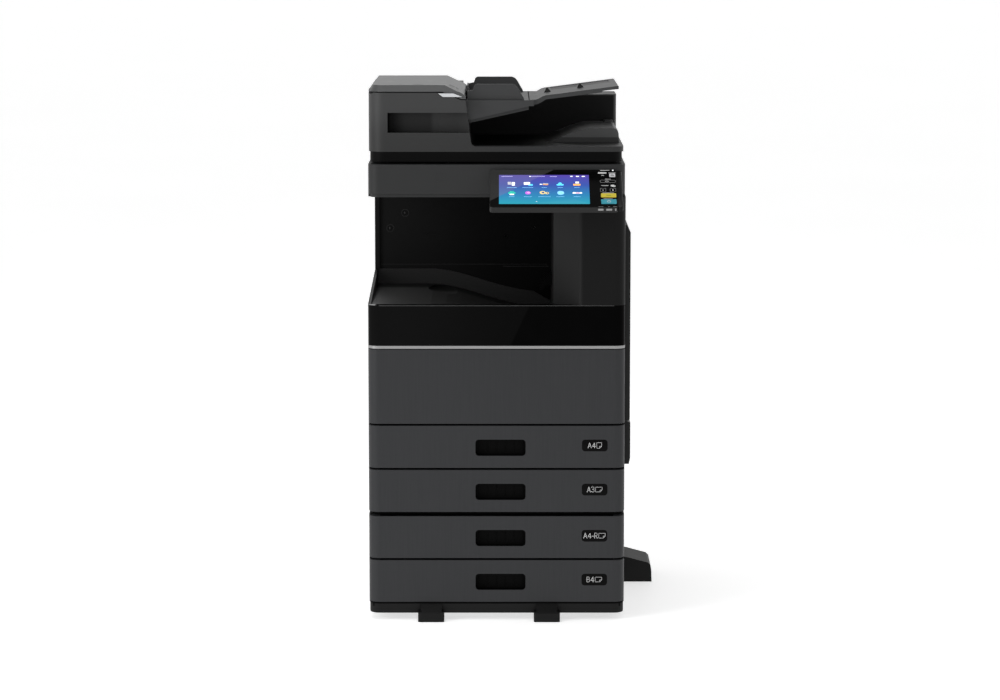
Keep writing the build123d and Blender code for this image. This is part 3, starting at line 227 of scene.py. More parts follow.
def moulded(name, level, roughness, specular=0.25, cool=0.02):
    """Spark-eroded moulded plastic: fine even grain, a slow drift of tone, and faint handling marks."""
    f = Finish(name)
    speck, tone = f.grain()
    pits = f.cells(GRAIN_SCALE * 0.6)["Distance"]
    rubs = f.noise(38.0, 4.0).ramp(0.58, 0.75)
    colour = f.tones(level * 0.82, level * 1.22, tone, -cool)
    sheen = roughness + 0.10 * (speck - 0.5) - 0.05 * rubs
    normal = f.bump(0.6 * speck + 0.4 * pits, 0.35, GRAIN_DEPTH)
    return f.done(f.shader(color=colour, roughness=sheen, normal=normal, specular_ior_level=specular))


def front_plastic():
    """Charcoal of the drawer fronts and door: upright hairlines, with painted shade darkening the finger
    recesses.
    """
    f = Finish("charcoal_front")
    hair = f.noise(1.0, 2.0, f.stretched((430.0, 430.0, 9.0)))
    thread = f.noise(1.0, 2.0, f.stretched((1500.0, 1500.0, 14.0)))
    drift = f.noise(4.0, 2.0)
    speck = f.noise(1800.0, 2.0)
    tone = 0.40 * hair + 0.25 * thread + 0.15 * drift + 0.20 * speck
    skin = f.mix((0.0145, 0.0152, 0.0166, 1), (0.0290, 0.0296, 0.0320, 1), tone)
    sheen = 0.46 + 0.12 * (thread - 0.5) + 0.05 * (speck - 0.5)
    normal = f.bump(0.4 * thread + 0.3 * hair + 0.3 * speck, 0.25, 0.00003)
    face = f.shader(color=skin, roughness=sheen, normal=normal, specular_ior_level=0.24)
    # painted shade: inside the finger recesses the colour turns nearly black
    shade = f.tones(0.0006, 0.0022, 0.7 * speck + 0.3 * drift)
    recess = f.shader(color=shade, roughness=0.5 + 0.1 * speck, specular_ior_level=0.05)
    start = FRONT_Y + HANDLE_RIM * MM
    inside = f.y.ramp(start, start + HANDLE_SHADE * MM)
    past_corner = 1 - abs(f.x).ramp((CORNER_START - CORNER_SOFT) * MM, CORNER_START * MM)
    return f.done(f.blend(face, recess, inside * past_corner))


def fascia_finish():
    """Gloss black fascia, paler at its left end from a painted reflection, with a brushed bright strip along
    its lower edge.
    """
    f = Finish("gloss_fascia")
    haze = f.noise(24.0, 4.0)
    swirl = f.noise(420.0, 2.0, f.stretched((1.0, 1.0, 0.15)))
    black = f.tones(0.0004, 0.0012, haze)
    # painted reflection: pale on the left of a slanting edge, fading towards the right
    lean = FASCIA_LEAN / (FASCIA_HIGH[2] - FASCIA_LOW[2])
    slant = (f.z - FASCIA_LOW[2] * MM) * lean + FASCIA_REFLECTION_END
    sheen = (1 - (f.x - slant).ramp(0.0, 0.004)) * (1 - 0.55 * f.x.ramp(-0.24, 0.05))
    gloss = f.shader(color=f.mix(black, grey(0.0046), sheen), roughness=0.05 + 0.05 * haze + 0.02 * swirl,
                     specular_ior_level=0.02, normal=f.bump(haze, 0.05, 0.0002))
    lines = f.noise(1.0, 3.0, f.stretched((25.0, 25.0, 5200.0)))
    strip = f.shader(color=f.tones(0.22, 0.36, lines), metallic=0.9, roughness=0.34 + 0.14 * lines,
                     normal=f.bump(lines, 0.3, 0.00002))
    return f.done(f.blend(gloss, strip, f.z < STRIP_TOP))


def zinc_steel(name="zinc_steel", level=0.42, shade_front=None):
    """Zinc-plated sheet with spangle and rolling lines; painted shade blackens its front edges and the
    pedestal joint.
    """
    f = Finish(name)
    spangle = f.cells(140.0)["Color"]
    lines = f.noise(1.0, 3.0, f.stretched((30.0, 900.0, 900.0)))
    tone = 0.6 * f.parts(spangle)[0] + 0.4 * lines
    bare = f.shader(color=f.tones(level * 0.8, level * 1.15, tone, -0.01), metallic=0.85,
                    roughness=0.36 + 0.16 * tone, normal=f.bump(lines, 0.2, 0.00002))
    if shade_front is None:
        return f.done(bare)
    # painted shade: black where the frame shows through the gaps between the fronts and at the pedestal joint
    painted_shade = f.shader(color=f.tones(0.0015, 0.004, lines), roughness=0.6 + 0.1 * lines,
                     specular_ior_level=0.1)
    seam = (f.z > SEAM_LOW) * (f.z < SEAM_HIGH)
    front = f.y < shade_front
    return f.done(f.blend(bare, painted_shade, seam + front * (1 - seam)))


def rubber_finish():
    """Dusty black rubber of tyres and rollers."""
    f = Finish("rubber")
    speck = f.noise(1100.0, 3.0)
    dust = f.noise(60.0, 4.0).ramp(0.5, 0.8)
    colour = f.tones(0.010, 0.030, 0.5 * speck + 0.5 * dust)
    return f.done(f.shader(color=colour, roughness=0.72 + 0.12 * (speck - 0.5), specular_ior_level=0.25,
                           normal=f.bump(speck, 0.4, 0.00006)))


def clear_glass():
    """Pale green platen glass with faint smears."""
    f = Finish("clear_glass")
    smear = f.noise(16.0, 3.0)
    tint = f.mix((0.80, 0.88, 0.86, 1), (0.86, 0.92, 0.90, 1), smear)
    return f.done(f.shader(color=tint, roughness=0.02 + 0.05 * smear, ior=1.5, transmission_weight=0.85))


def foam_finish():
    """White wipe-clean skin of the backing pad."""
    f = Finish("white_foam")
    dimple = f.cells(420.0)["Distance"]
    tone = f.noise(9.0, 3.0)
    colour = f.mix((0.70, 0.70, 0.67, 1), (0.84, 0.84, 0.82, 1), tone)
    return f.done(f.shader(color=colour, roughness=0.62 + 0.1 * (dimple - 0.5), specular_ior_level=0.3,
                           normal=f.bump(dimple, 0.3, 0.0001)))


def coloured(name, low, high, roughness=0.42, glow=0.0, specular=0.3):
    """A small coloured moulding, with a fine grain; glow makes it a lit lens."""
    f = Finish(name)
    speck = f.noise(900.0, 3.0)
    drift = f.noise(40.0, 2.0)
    colour = f.mix(low, high, 0.5 * speck + 0.5 * drift)
    sockets = dict(color=colour, roughness=roughness + 0.08 * (speck - 0.5), specular_ior_level=specular,
                   normal=f.bump(speck, 0.2, 0.00002))
    if glow:
        sockets["emission_color"] = colour
        sockets["emission_strength"] = glow
    return f.done(f.shader(**sockets))


def painted_panel_glare(f):
    """Share of the painted reflection, a soft triangular glare, on the panel's upper left."""
    across = f.along(PANEL_HINGE, ACROSS_PANEL)
    down = f.along(PANEL_HINGE, DOWN_PANEL)
    return 1 - (across + GLARE_LEAN * down).ramp(GLARE_EDGE, GLARE_EDGE + 0.004)


def screen_picture():
    """Lit picture on the touch screen: violet at the top running down to cyan, with a painted glare on its
    upper left.
    """
    f = Finish("screen_picture")
    top_edge = PANEL @ Vector((0, -SCREEN[2] * MM, 0))
    share = f.along(top_edge, DOWN_PANEL) / ((SCREEN[3] - SCREEN[2]) * MM)
    wave = f.noise(14.0, 1.0)
    grid = f.noise(2600.0, 1.0)
    picture = f.ramp(share + 0.10 * (wave - 0.5), [
        (0.0, (0.115, 0.070, 0.46, 1)), (0.35, (0.055, 0.115, 0.50, 1)),
        (0.7, (0.035, 0.27, 0.56, 1)), (1.0, (0.03, 0.42, 0.56, 1))])
    glared_picture = f.mix(picture, (0.20, 0.20, 0.42, 1), 0.42 * painted_panel_glare(f))
    return f.done(f.shader(color=grey(0.004), roughness=0.07 + 0.05 * grid, specular_ior_level=0.04,
                           emission_color=f.mix(glared_picture, grey(0.0), 0.12 * grid), emission_strength=1.0))


def panel_plastic():
    """Panel housing: smoked gloss with a painted glare on its face, textured charcoal on its edges and
    underside.
    """
    f = Finish("panel_housing")
    haze = f.noise(30.0, 4.0)
    speck = f.noise(GRAIN_SCALE, 3.0)
    face_colour = f.mix(f.tones(0.0012, 0.0028, haze), grey(0.030), painted_panel_glare(f))
    gloss = f.shader(color=face_colour, roughness=0.06 + 0.05 * haze, specular_ior_level=0.05)
    edge = f.shader(color=f.tones(0.009, 0.015, speck), roughness=0.42 + 0.1 * speck,
                    specular_ior_level=0.2, normal=f.bump(speck, 0.3, GRAIN_DEPTH))
    return f.done(f.blend(edge, gloss, f.along(PANEL_HINGE, OUT_OF_PANEL) > -0.0004))


def feeder_finish():
    """Feeder body: charcoal with painted light towards the top, and painted shade in the finger slot and
    under the input tray.
    """
    f = Finish("charcoal_feeder_body")
    speck, tone = f.grain()
    wing_bottom, top_light_from, top_light_to = 1.0985, 1.100, 1.185
    wing = f.x.ramp(0.08, 0.13) * (f.z > wing_bottom)
    # painted light: the front pales towards the top, as if lit from above
    top_light = f.mix(f.tones(0.0135, 0.0205, tone, -0.01), f.tones(0.0260, 0.0370, tone, -0.01),
                    f.z.ramp(top_light_from, top_light_to))
    wing_tone = f.tones(0.046, 0.066, tone, -0.01)
    outside = f.plastic(f.mix(top_light, wing_tone, wing), 0.42, 0.28, speck)
    # painted shade: near black inside the finger slot and under the input tray
    dark = f.plastic(f.tones(0.0008, 0.0030, tone), 0.45, 0.07, speck, 0.1)
    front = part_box("adf_body")[0][1]
    slot_bottom, slot_top, slot_left, slot_right = 1.1175, 1.1635, -0.2620, -0.03
    slot = f.y.ramp(front + 0.003, front + 0.018) * (f.z > slot_bottom) * (f.z < slot_top)
    slot = slot * (f.x < slot_right) * (f.x > slot_left)
    slot_shade_strength = 1 - 0.45 * f.x.ramp(-0.245, -0.205) - 0.35 * f.x.ramp(-0.152, -0.140)
    slot_shade_strength = slot_shade_strength + 0.2 * f.x.ramp(-0.13, -0.08)
    well_left = -0.062
    well_shade = f.y.ramp(front + 0.012, front + 0.05) * (f.x > well_left) * (1 - f.x.ramp(0.07, 0.15))
    return f.done(f.blend(outside, dark, slot * slot_shade_strength + well_shade * (1 - slot)))


def rear_housing_finish():
    """Feeder's rear housing: charcoal on top and behind, with painted shade turning it black where it faces
    the input tray.
    """
    f = Finish("charcoal_rear_housing")
    speck, tone = f.grain()
    outside = f.plastic(f.tones(0.021, 0.031, tone, -0.01), 0.45, 0.30, speck)
    # painted shade where the housing faces the input tray
    dark = f.plastic(f.tones(0.0025, 0.006, tone), 0.45, 0.12, speck, 0.1)
    tray_side, tray_top = 0.1085, 1.1800
    return f.done(f.blend(outside, dark, (f.y < tray_side) * (f.z < tray_top)))


def cavity_wall_finish():
    """Cavity's back wall: black plastic with painted shade that deepens towards the pillar."""
    f = Finish("cavity_wall")
    speck, tone = f.grain()
    # painted shade: the colour darkens from the left end towards the pillar
    left = f.tones(0.0034, 0.0056, tone)
    right = f.tones(0.0005, 0.0010, tone)
    return f.done(f.plastic(f.mix(left, right, f.x.ramp(-0.22, 0.03)), 0.45, 0.07, speck))


def tray_finish():
    """Output tray: charcoal on its plateau, with painted shade darkening the slope and the rear upstand."""
    f = Finish("output_tray_plastic")
    speck, tone = f.grain()
    plateau = f.tones(0.040, 0.054, tone)
    slope = f.tones(0.0045, 0.0075, tone)
    # painted shade on the slope and the rear upstand
    shade = f.x.ramp(-0.01, 0.08) * (0.85 + 0.15 * f.y.ramp(0.06, 0.11))
    rear = f.y.ramp(0.075, 0.115)
    return f.done(f.plastic(f.mix(plateau, slope, shade + rear * (1 - shade)), 0.40, 0.25, speck))


def pillar_finish():
    """Pillar cover: painted light on its slanted inner face, and painted shade making its flat front nearly
    black.
    """
    f = Finish("pillar_plastic")
    speck, tone = f.grain()
    # lit and shaded copies of one charcoal: painted light on the slant, painted shade on the flat front
    slant = f.tones(0.0082, 0.0124, tone)
    shaded_flat_face = f.tones(0.0016, 0.0030, tone)
    return f.done(f.plastic(f.mix(slant, shaded_flat_face, f.x.ramp(0.184, 0.199)), 0.44, 0.13, speck))


def side_cover_finish():
    """Side covers: charcoal skins with painted shade darkening the front edge beside the cavity."""
    f = Finish("side_cover_plastic")
    speck, tone = f.grain()
    outside = f.tones(0.0160, 0.0235, tone)
    edge = f.tones(0.0022, 0.0040, tone)
    front_edge, edge_bottom = -0.2630, 0.70
    # painted shade on the front edge beside the cavity
    dark = (f.y < front_edge) * (f.z > edge_bottom)
    return f.done(f.plastic(f.mix(outside, edge, dark), 0.48, 0.22, speck))


def gloss_panel():
    """Smoked gloss of the panel face and the drawer labels, with a painted glare on the panel face only."""
    f = Finish("smoked_gloss")
    haze = f.noise(30.0, 4.0)
    above_body = 0.94
    # painted reflection: the glare is kept to the panel, above the body
    glare = painted_panel_glare(f) * (f.z > above_body)
    colour = f.mix(f.tones(0.0012, 0.0028, haze), grey(0.030), glare)
    return f.done(f.shader(color=colour, roughness=0.05 + 0.05 * haze, specular_ior_level=0.05,
                           normal=f.bump(haze, 0.03, 0.0002)))


def floor_finish():
    """Pale matt floor that glows a little, so that it fades into the horizon."""
    f = Finish("floor")
    tone = f.noise(0.7, 3.0)
    grain = f.noise(60.0, 2.0)
    colour = f.tones(0.86, 0.90, 0.7 * tone + 0.3 * grain)
    return f.done(f.shader(color=colour, roughness=0.55 + 0.05 * grain, specular_ior_level=0.2,
                           normal=f.bump(grain, 0.02, 0.0002), emission_color=colour,
                           emission_strength=0.62))


# ---------------------------------------------------------------- sizes read from the model


def box(node):
    """Lowest and highest corner of a node, in millimetres."""
    low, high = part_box(node)
    return [v / MM for v in low], [v / MM for v in high]


def recess_middle(number):
    """Height of the middle of a drawer's finger recess, in millimetres."""
    low, high = box(f"drawer_{number}_front")
    return (low[2] + high[2]) / 2 - RECESS_DROP


FRONT_Y = box("front_door")[0][1] * MM
SHADE_DEPTH = 34.0  # how far behind the fronts the frame gets painted shade
SEAM_LOW, SEAM_HIGH = 0.2420, 0.2516  # the joint between pedestal and body, where the frame gets painted shade
HANDLE_RIM = 1.3  # depth of the eased rim of a finger recess
HANDLE_SHADE = 2.5  # how far behind that rim the painted shade of a recess reaches full strength
RECESS_X, RECESS_DEPTH, RECESS_TALL = 8.9, 20.9, 37.5
RECESS_DROP = 2.0  # how far a recess sits below the middle of its front
CORNER_START = 268.0  # where the round ends of the fronts begin, from the middle
CORNER_SOFT = 2.0
FASCIA_LOW, FASCIA_HIGH = box("front_fascia")
STRIP_TOP = (FASCIA_LOW[2] + 6.4) * MM
FASCIA_LEAN = 47.0  # how far the edge of the fascia's painted reflection leans over its whole height
FASCIA_REFLECTION_END = 0.026
CAVITY_WALL_Y = 178.0
CAVITY_SCREWS = ((-220.0, 894.0), (-256.0, 857.0))
UNIT_STEP = 92  # between the drums, and between the toner cartridges

PANEL_TILT = 27.9
PANEL_DEPTH = 0.156
PANEL_HINGE = Vector((0, -0.302, 1.037))  # the panel's upper edge
PANEL = Matrix.Translation(PANEL_HINGE) @ Matrix.Rotation(math.radians(PANEL_TILT), 4, "X")
ACROSS_PANEL = PANEL.to_3x3() @ Vector((1, 0, 0))
DOWN_PANEL = PANEL.to_3x3() @ Vector((0, -1, 0))
OUT_OF_PANEL = PANEL.to_3x3() @ Vector((0, 0, 1))
GLARE_EDGE, GLARE_LEAN = 0.128, 1.12
SCREEN = (5.5, 207.0, 23.0, 142.0)  # X limits, then distance down the panel


# ---------------------------------------------------------------- mesh tools


def build(name, faces, finish, body, place=None, smooth=35.0):
    """Makes one piece from lists of (points, faces) in millimetres and lets it ride on a body."""
    points, polygons = [], []
    for some_points, some_faces in faces:
        start = len(points)
        points += [tuple(c * MM for c in p) for p in some_points]
        polygons += [[start + i for i in face] for face in some_faces]
    if place is not None:
        points = [tuple(place @ Vector(p)) for p in points]
    mesh = bpy.data.meshes.new(name)
    mesh.from_pydata(points, [], polygons)
    mesh.validate()
    mesh.materials.append(finish)
    piece = bpy.data.objects.new(name, mesh)
    bpy.context.scene.collection.objects.link(piece)
    mesh.shade_smooth()
    mesh.set_sharp_from_angle(angle=math.radians(smooth))
    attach(piece, body)
    return piece


def rounded(x0, x1, y0, y1, r, steps=4):
    """A rounded rectangle as a list of points, anticlockwise."""
    r = min(r, (x1 - x0) / 2 - 0.01, (y1 - y0) / 2 - 0.01)
    corners = ((x1 - r, y1 - r, 0), (x0 + r, y1 - r, 90), (x0 + r, y0 + r, 180), (x1 - r, y0 + r, 270))
    points = []
    for cx, cy, start in corners:
        for i in range(steps + 1):
            a = math.radians(start + 90 * i / steps)
            points.append((cx + r * math.cos(a), cy + r * math.sin(a)))
    return points


def circle(cx, cy, r, n=24):
    """Points of a circle, anticlockwise."""
    return [(cx + r * math.cos(2 * math.pi * i / n), cy + r * math.sin(2 * math.pi * i / n))
            for i in range(n)]


def skin(rings, capped=True):
    """Faces between rings of equal length, with a cap at each end."""
    n = len(rings[0])
    points = [p for ring in rings for p in ring]
    faces = []
    for k in range(len(rings) - 1):
        for i in range(n):
            j = (i + 1) % n
            faces.append([k * n + i, k * n + j, (k + 1) * n + j, (k + 1) * n + i])
    if capped:
        faces.append(list(range(n))[::-1])
        faces.append([(len(rings) - 1) * n + i for i in range(n)])
    return points, faces


def plate(x0, x1, y0, y1, z0, z1, r=1.0, edge=0.3):
    """A rounded plate with an eased upper edge, drawn flat: Z is its thickness."""
    edge = min(edge, (z1 - z0) * 0.8)
    rings = []
    for inset, z in ((0, z0), (0, z1 - edge), (edge * 0.3, z1 - edge * 0.3), (edge, z1)):
        ring = rounded(x0 + inset, x1 - inset, y0 + inset, y1 - inset, max(r - inset, 0.05))
        rings.append([(x, y, z) for x, y in ring])
    return skin(rings)


def turned(profile, cx, cy, n=24):
    """A turned part about a Z line through (cx, cy): profile is a list of (radius, height)."""
    return skin([[(x, y, h) for x, y in circle(cx, cy, r, n)] for r, h in profile])


def frame_ring(x0, x1, y0, y1, z0, z1, r, width):
    """A thin raised outline of a rounded rectangle, with a square section."""
    inner_r = max(r - width, 0.1)
    outer = rounded(x0, x1, y0, y1, r)
    inner = rounded(x0 + width, x1 - width, y0 + width, y1 - width, inner_r)
    n = len(outer)
    loops = [[(x, y, z0) for x, y in outer], [(x, y, z1) for x, y in outer],
             [(x, y, z1) for x, y in inner], [(x, y, z0) for x, y in inner]]
    points = [p for loop in loops for p in loop]
    faces = []
    for k in range(4):
        for i in range(n):
            j = (i + 1) % n
            a, b = k * n, ((k + 1) % 4) * n
            faces.append([a + i, a + j, b + j, b + i])
    return points, faces


def stroke(points, width, z0, z1, closed=True):
    """A flat line of a given width through the points, as one band per run."""
    verts, faces = [], []
    runs = list(zip(points, points[1:] + points[:1] if closed else points[1:]))
    for (ax, ay), (bx, by) in runs:
        length = math.hypot(bx - ax, by - ay)
        ux, uy = (bx - ax) / length, (by - ay) / length
        nx, ny = -uy * width / 2, ux * width / 2
        ex, ey = ux * width / 2, uy * width / 2
        ring = [(ax - ex + nx, ay - ey + ny), (ax - ex - nx, ay - ey - ny), (bx + ex - nx, by + ey - ny),
                (bx + ex + nx, by + ey + ny)]
        some_points, some_faces = skin([[(x, y, z0) for x, y in ring], [(x, y, z1) for x, y in ring]])
        start = len(verts)
        verts += some_points
        faces += [[start + i for i in face] for face in some_faces]
    return verts, faces


def facing(direction, x, y, z):
    """Places flat drawings on a face of the body: their X runs along it, Y up or back and Z outwards."""
    turns = {"front": (90, 0), "back": (90, 180), "left": (90, -90), "right": (90, 90), "top": (0, 0)}
    tip, spin = (math.radians(a) for a in turns[direction])
    turn = Matrix.Rotation(spin, 4, "Z") @ Matrix.Rotation(tip, 4, "X")
    return Matrix.Translation((x * MM, y * MM, z * MM)) @ turn


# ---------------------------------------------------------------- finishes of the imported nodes


CHARCOAL_FRONT = front_plastic()
BODY_PLASTIC = moulded("charcoal_body", 0.0190, 0.50, specular=0.22)
FEEDER_PLASTIC = moulded("charcoal_feeder", 0.029, 0.46, specular=0.32)
COVER_PLASTIC = moulded("charcoal_cover", 0.047, 0.40, specular=0.5)
BASE_BLACK = moulded("base_black", 0.0052, 0.50, specular=0.14, cool=0.0)
STRIP_BLACK = moulded("feeder_base_black", 0.0011, 0.50, specular=0.06, cool=0.0)
WALL_BLACK = cavity_wall_finish()
TRAY_CHARCOAL = tray_finish()
PILLAR_PLASTIC = pillar_finish()
SIDE_PLASTIC = side_cover_finish()
RECESS_BLACK = moulded("recess_black", 0.0012, 0.5, specular=0.05, cool=0.0)
BLACK_PLASTIC = moulded("black_plastic", 0.0085, 0.48, specular=0.2, cool=0.0)
CHEEK_BLACK = moulded("cheek_black", 0.0045, 0.30, specular=0.12, cool=0.0)
GREY_PLASTIC = moulded("grey_plastic", 0.30, 0.48, specular=0.35)
LATCH_PLASTIC = moulded("latch_plastic", 0.52, 0.42, specular=0.35)
ENGINE_PLASTIC = moulded("engine_plastic", 0.05, 0.5)
FASCIA = fascia_finish()
STEEL = zinc_steel()
FRAME_STEEL = zinc_steel("frame_steel_painted_shade", 0.42, FRONT_Y + SHADE_DEPTH * MM)
DARK_STEEL = zinc_steel("dark_steel", 0.16)
# pale satin strip that stands for the highlight on the fascia's top edge
EDGE_HIGHLIGHT = moulded("painted_edge_highlight", 0.085, 0.35, specular=0.4, cool=0.0)
RUBBER = rubber_finish()
GLASS = clear_glass()
FOAM = foam_finish()
SMOKED = gloss_panel()
PANEL_HOUSING = panel_plastic()
FEEDER_BODY = feeder_finish()
REAR_HOUSING = rear_housing_finish()
PRINT_WHITE = coloured("white_print", (0.50, 0.50, 0.50, 1), (0.62, 0.62, 0.62, 1), 0.5)
PRINT_GREY = coloured("grey_print", (0.20, 0.20, 0.20, 1), (0.30, 0.30, 0.30, 1), 0.5)
PRINT_DARK = coloured("dark_print", (0.006, 0.006, 0.006, 1), (0.014, 0.014, 0.014, 1), 0.5)
WHITE_KEY = coloured("white_key", (0.50, 0.50, 0.52, 1), (0.62, 0.62, 0.64, 1), 0.4)
YELLOW_KEY = coloured("yellow_key", (0.53, 0.43, 0.035, 1), (0.60, 0.49, 0.045, 1), 0.4)
BLUE_KEY = coloured("blue_key", (0.03, 0.26, 0.34, 1), (0.04, 0.32, 0.40, 1), 0.4)
SCREEN_PICTURE = screen_picture()

NODE_FINISH = {
    "base_skirt": BASE_BLACK, "stabilisers": BASE_BLACK, "pedestal_frame": FRAME_STEEL,
    "drawer_rails": STEEL, "main_frame": FRAME_STEEL, "upper_frame": FRAME_STEEL, "side_covers": SIDE_PLASTIC,
    "rear_covers": BODY_PLASTIC, "front_fascia": FASCIA, "output_tray": TRAY_CHARCOAL,
    "back_wall": WALL_BLACK, "pillar_cover": PILLAR_PLASTIC, "toner_cartridges": BLACK_PLASTIC,
    "drum_units": ENGINE_PLASTIC, "transfer_belt_unit": BLACK_PLASTIC, "laser_unit": GREY_PLASTIC,
    "fuser_unit": DARK_STEEL, "power_unit": BLACK_PLASTIC, "scanner_tub": BODY_PLASTIC,
    "scanner_front_cover": BODY_PLASTIC, "scanner_top_frame": BODY_PLASTIC, "scanner_glasses": GLASS,
    "front_door": CHARCOAL_FRONT, "right_door": BLACK_PLASTIC, "bypass_tray": BODY_PLASTIC,
    "feed_door": BLACK_PLASTIC, "exit_roller": RUBBER, "power_switch": BLACK_PLASTIC,
    "scan_carriage": BLACK_PLASTIC, "adf_base": STRIP_BLACK, "adf_body": FEEDER_BODY,
    "adf_rear_cover": REAR_HOUSING, "input_tray_base": FEEDER_PLASTIC, "backing_pad": FOAM,
    "adf_top_cover": COVER_PLASTIC, "adf_latch": LATCH_PLASTIC, "feed_tray": FEEDER_PLASTIC,
    "guide_front": FEEDER_PLASTIC, "guide_rear": FEEDER_PLASTIC, "panel_housing": PANEL_HOUSING,
    "touch_screen": SMOKED, "key_home": WHITE_KEY, "key_clear": YELLOW_KEY, "key_start": BLUE_KEY,
}
for number in range(1, 5):
    NODE_FINISH[f"drawer_{number}_front"] = CHARCOAL_FRONT
    NODE_FINISH[f"drawer_{number}_tray"] = STEEL
    NODE_FINISH[f"castor_{number}_fork"] = DARK_STEEL
    NODE_FINISH[f"castor_{number}_wheel"] = RUBBER


def paint_nodes():
    for name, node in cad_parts.items():
        node.data.materials.clear()
        node.data.materials.append(NODE_FINISH[name])


# ---------------------------------------------------------------- drawers


PAPER_SIZES = {1: ("A4", "page"), 2: ("A3", "wide"), 3: ("A4-R", "wide"), 4: ("B4", "wide")}
PAGE_SHAPES = {"wide": (15.0, 11.0, -5.2), "page": (11.0, 13.2, -6.4)}  # width, height, lower edge
PAGE_GAP, PAGE_FOLD, LETTER_GAP = 0.6, 4.6, 2.3
LABEL_X, LABEL_WIDE, LABEL_TALL = 223.8, 58.4, 27.0
LABEL_PRINT = (0.5, 0.62)  # from the label's face to the top of its print

GLYPHS = {
    "A": [[(0, 0), (0.5, 1), (1, 0)], [(0.2, 0.34), (0.8, 0.34)]],
    "B": [[(0, 0), (0, 1), (0.6, 1), (0.88, 0.86), (0.88, 0.66), (0.6, 0.53), (0, 0.53)],
          [(0.6, 0.53), (0.97, 0.38), (0.97, 0.15), (0.65, 0), (0, 0)]],
    "R": [[(0, 0), (0, 1), (0.65, 1), (0.92, 0.86), (0.92, 0.62), (0.65, 0.48), (0, 0.48)],
          [(0.5, 0.48), (0.97, 0)]],
    "3": [[(0.03, 0.9), (0.3, 1), (0.68, 1), (0.9, 0.86), (0.9, 0.66), (0.65, 0.53), (0.35, 0.53)],
          [(0.65, 0.53), (0.97, 0.38), (0.97, 0.15), (0.7, 0), (0.28, 0), (0, 0.12)]],
    "4": [[(0.74, 0), (0.74, 1), (0, 0.28), (1, 0.28)]],
    "-": [[(0, 0.40), (1, 0.40)]],
}
GLYPH_WIDTHS = {"A": 7.6, "B": 6.6, "R": 6.6, "3": 6.4, "4": 7.2, "-": 3.2}


def letter_strokes(text, x, low, tall):
    """Single-line characters, each made of thin straight strokes."""
    strokes = []
    for letter in text:
        wide = GLYPH_WIDTHS[letter]
        for line in GLYPHS[letter]:
            points = [(x + u * wide, low + v * tall) for u, v in line]
            strokes += [stroke([p, q], 1.15, *LABEL_PRINT, closed=False) for p, q in zip(points, points[1:])]
        x += wide + LETTER_GAP
    return strokes


def drawer_label(number):
    """Gloss label plate with the paper size and a page outline with a turned corner."""
    low = box(f"drawer_{number}_front")[0]
    body = f"drawer_{number}"
    half_wide, half_tall = LABEL_WIDE / 2, LABEL_TALL / 2
    height = recess_middle(number) + RECESS_TALL / 2 - half_tall
    place = facing("front", LABEL_X, low[1], height)
    blank = plate(-half_wide, half_wide, -half_tall, half_tall, -0.6, 0.5, 7.0, 0.4)
    build(f"{body}_label", [blank], SMOKED, body, place)
    text, shape = PAPER_SIZES[number]
    page_wide, page_tall, page_low = PAGE_SHAPES[shape]
    width = sum(GLYPH_WIDTHS[letter] + LETTER_GAP for letter in text) + PAGE_GAP
    left = -(width + page_wide) / 2
    build(f"{body}_size", letter_strokes(text, left, -5.4, 11.8), PRINT_WHITE, body, place)
    x0 = left + width
    x1, fold = x0 + page_wide, PAGE_FOLD
    outline = [(x0, page_low), (x1 - fold, page_low), (x1, page_low + fold), (x1, page_low + page_tall),
               (x0, page_low + page_tall)]
    corner = [(x1 - fold, page_low), (x1 - fold, page_low + fold), (x1, page_low + fold)]
    lines = [stroke(outline, 0.7, *LABEL_PRINT), stroke(corner, 0.8, *LABEL_PRINT, closed=False)]
    build(f"{body}_page", lines, PRINT_WHITE, body, place)


def drawer_fittings(number):
    """Stiffening ribs on the back of the finger recess."""
    low = box(f"drawer_{number}_front")[0]
    body = f"drawer_{number}"
    place = facing("front", RECESS_X, low[1] + RECESS_DEPTH, recess_middle(number))
    ribs = [plate(-50 + 20 * k, -48.8 + 20 * k, -12, 12, -0.1, 1.2, 0.5, 0.3) for k in range(6)]
    build(f"{body}_grip_ribs", ribs, RECESS_BLACK, body, place)


# ---------------------------------------------------------------- control panel


ICON_COLOURS = {
    "white": (0.80, 0.82, 0.85, 1), "grey": (0.42, 0.42, 0.46, 1), "cyan": (0.10, 0.55, 0.85, 1),
    "orange": (0.80, 0.38, 0.10, 1), "red": (0.65, 0.14, 0.10, 1), "green": (0.03, 0.50, 0.32, 1),
    "violet": (0.42, 0.12, 0.55, 1), "pink": (0.70, 0.30, 0.55, 1), "gold": (0.62, 0.50, 0.22, 1),
    "sky": (0.22, 0.55, 0.85, 1), "navy": (0.03, 0.05, 0.22, 1), "silver": (0.36, 0.33, 0.62, 1),
    "rose": (0.62, 0.42, 0.55, 1),
}
LIT = {}
SYMBOL_X = (34.0, 70.0, 106.5, 142.0, 179.5)
LOWER_ROW = 95.0  # how far down the panel the lower row of symbols begins
MARK_BASE = 0.16
KEY_PRINT = (0.85, 0.98)  # from a key's face to the top of its symbol


def lit(colour):
    """Lit finish of one screen colour, made the first time it is asked for."""
    if colour not in LIT:
        r, g, b, _ = ICON_COLOURS[colour]
        LIT[colour] = coloured("icon_" + colour, (r * 0.9, g * 0.9, b * 0.9, 1), (r, g, b, 1), 0.3, 0.85, 0.1)
    return LIT[colour]


def screen_mark(name, faces, colour):
    build(name, faces, lit(colour), "control_panel", PANEL)


def flat(x0, x1, s0, s1, lift=0.30, r=0.8):
    """A thin mark on the screen, from its X limits and its distances down the panel."""
    return plate(x0, x1, -s1, -s0, MARK_BASE, lift, r, 0.05)


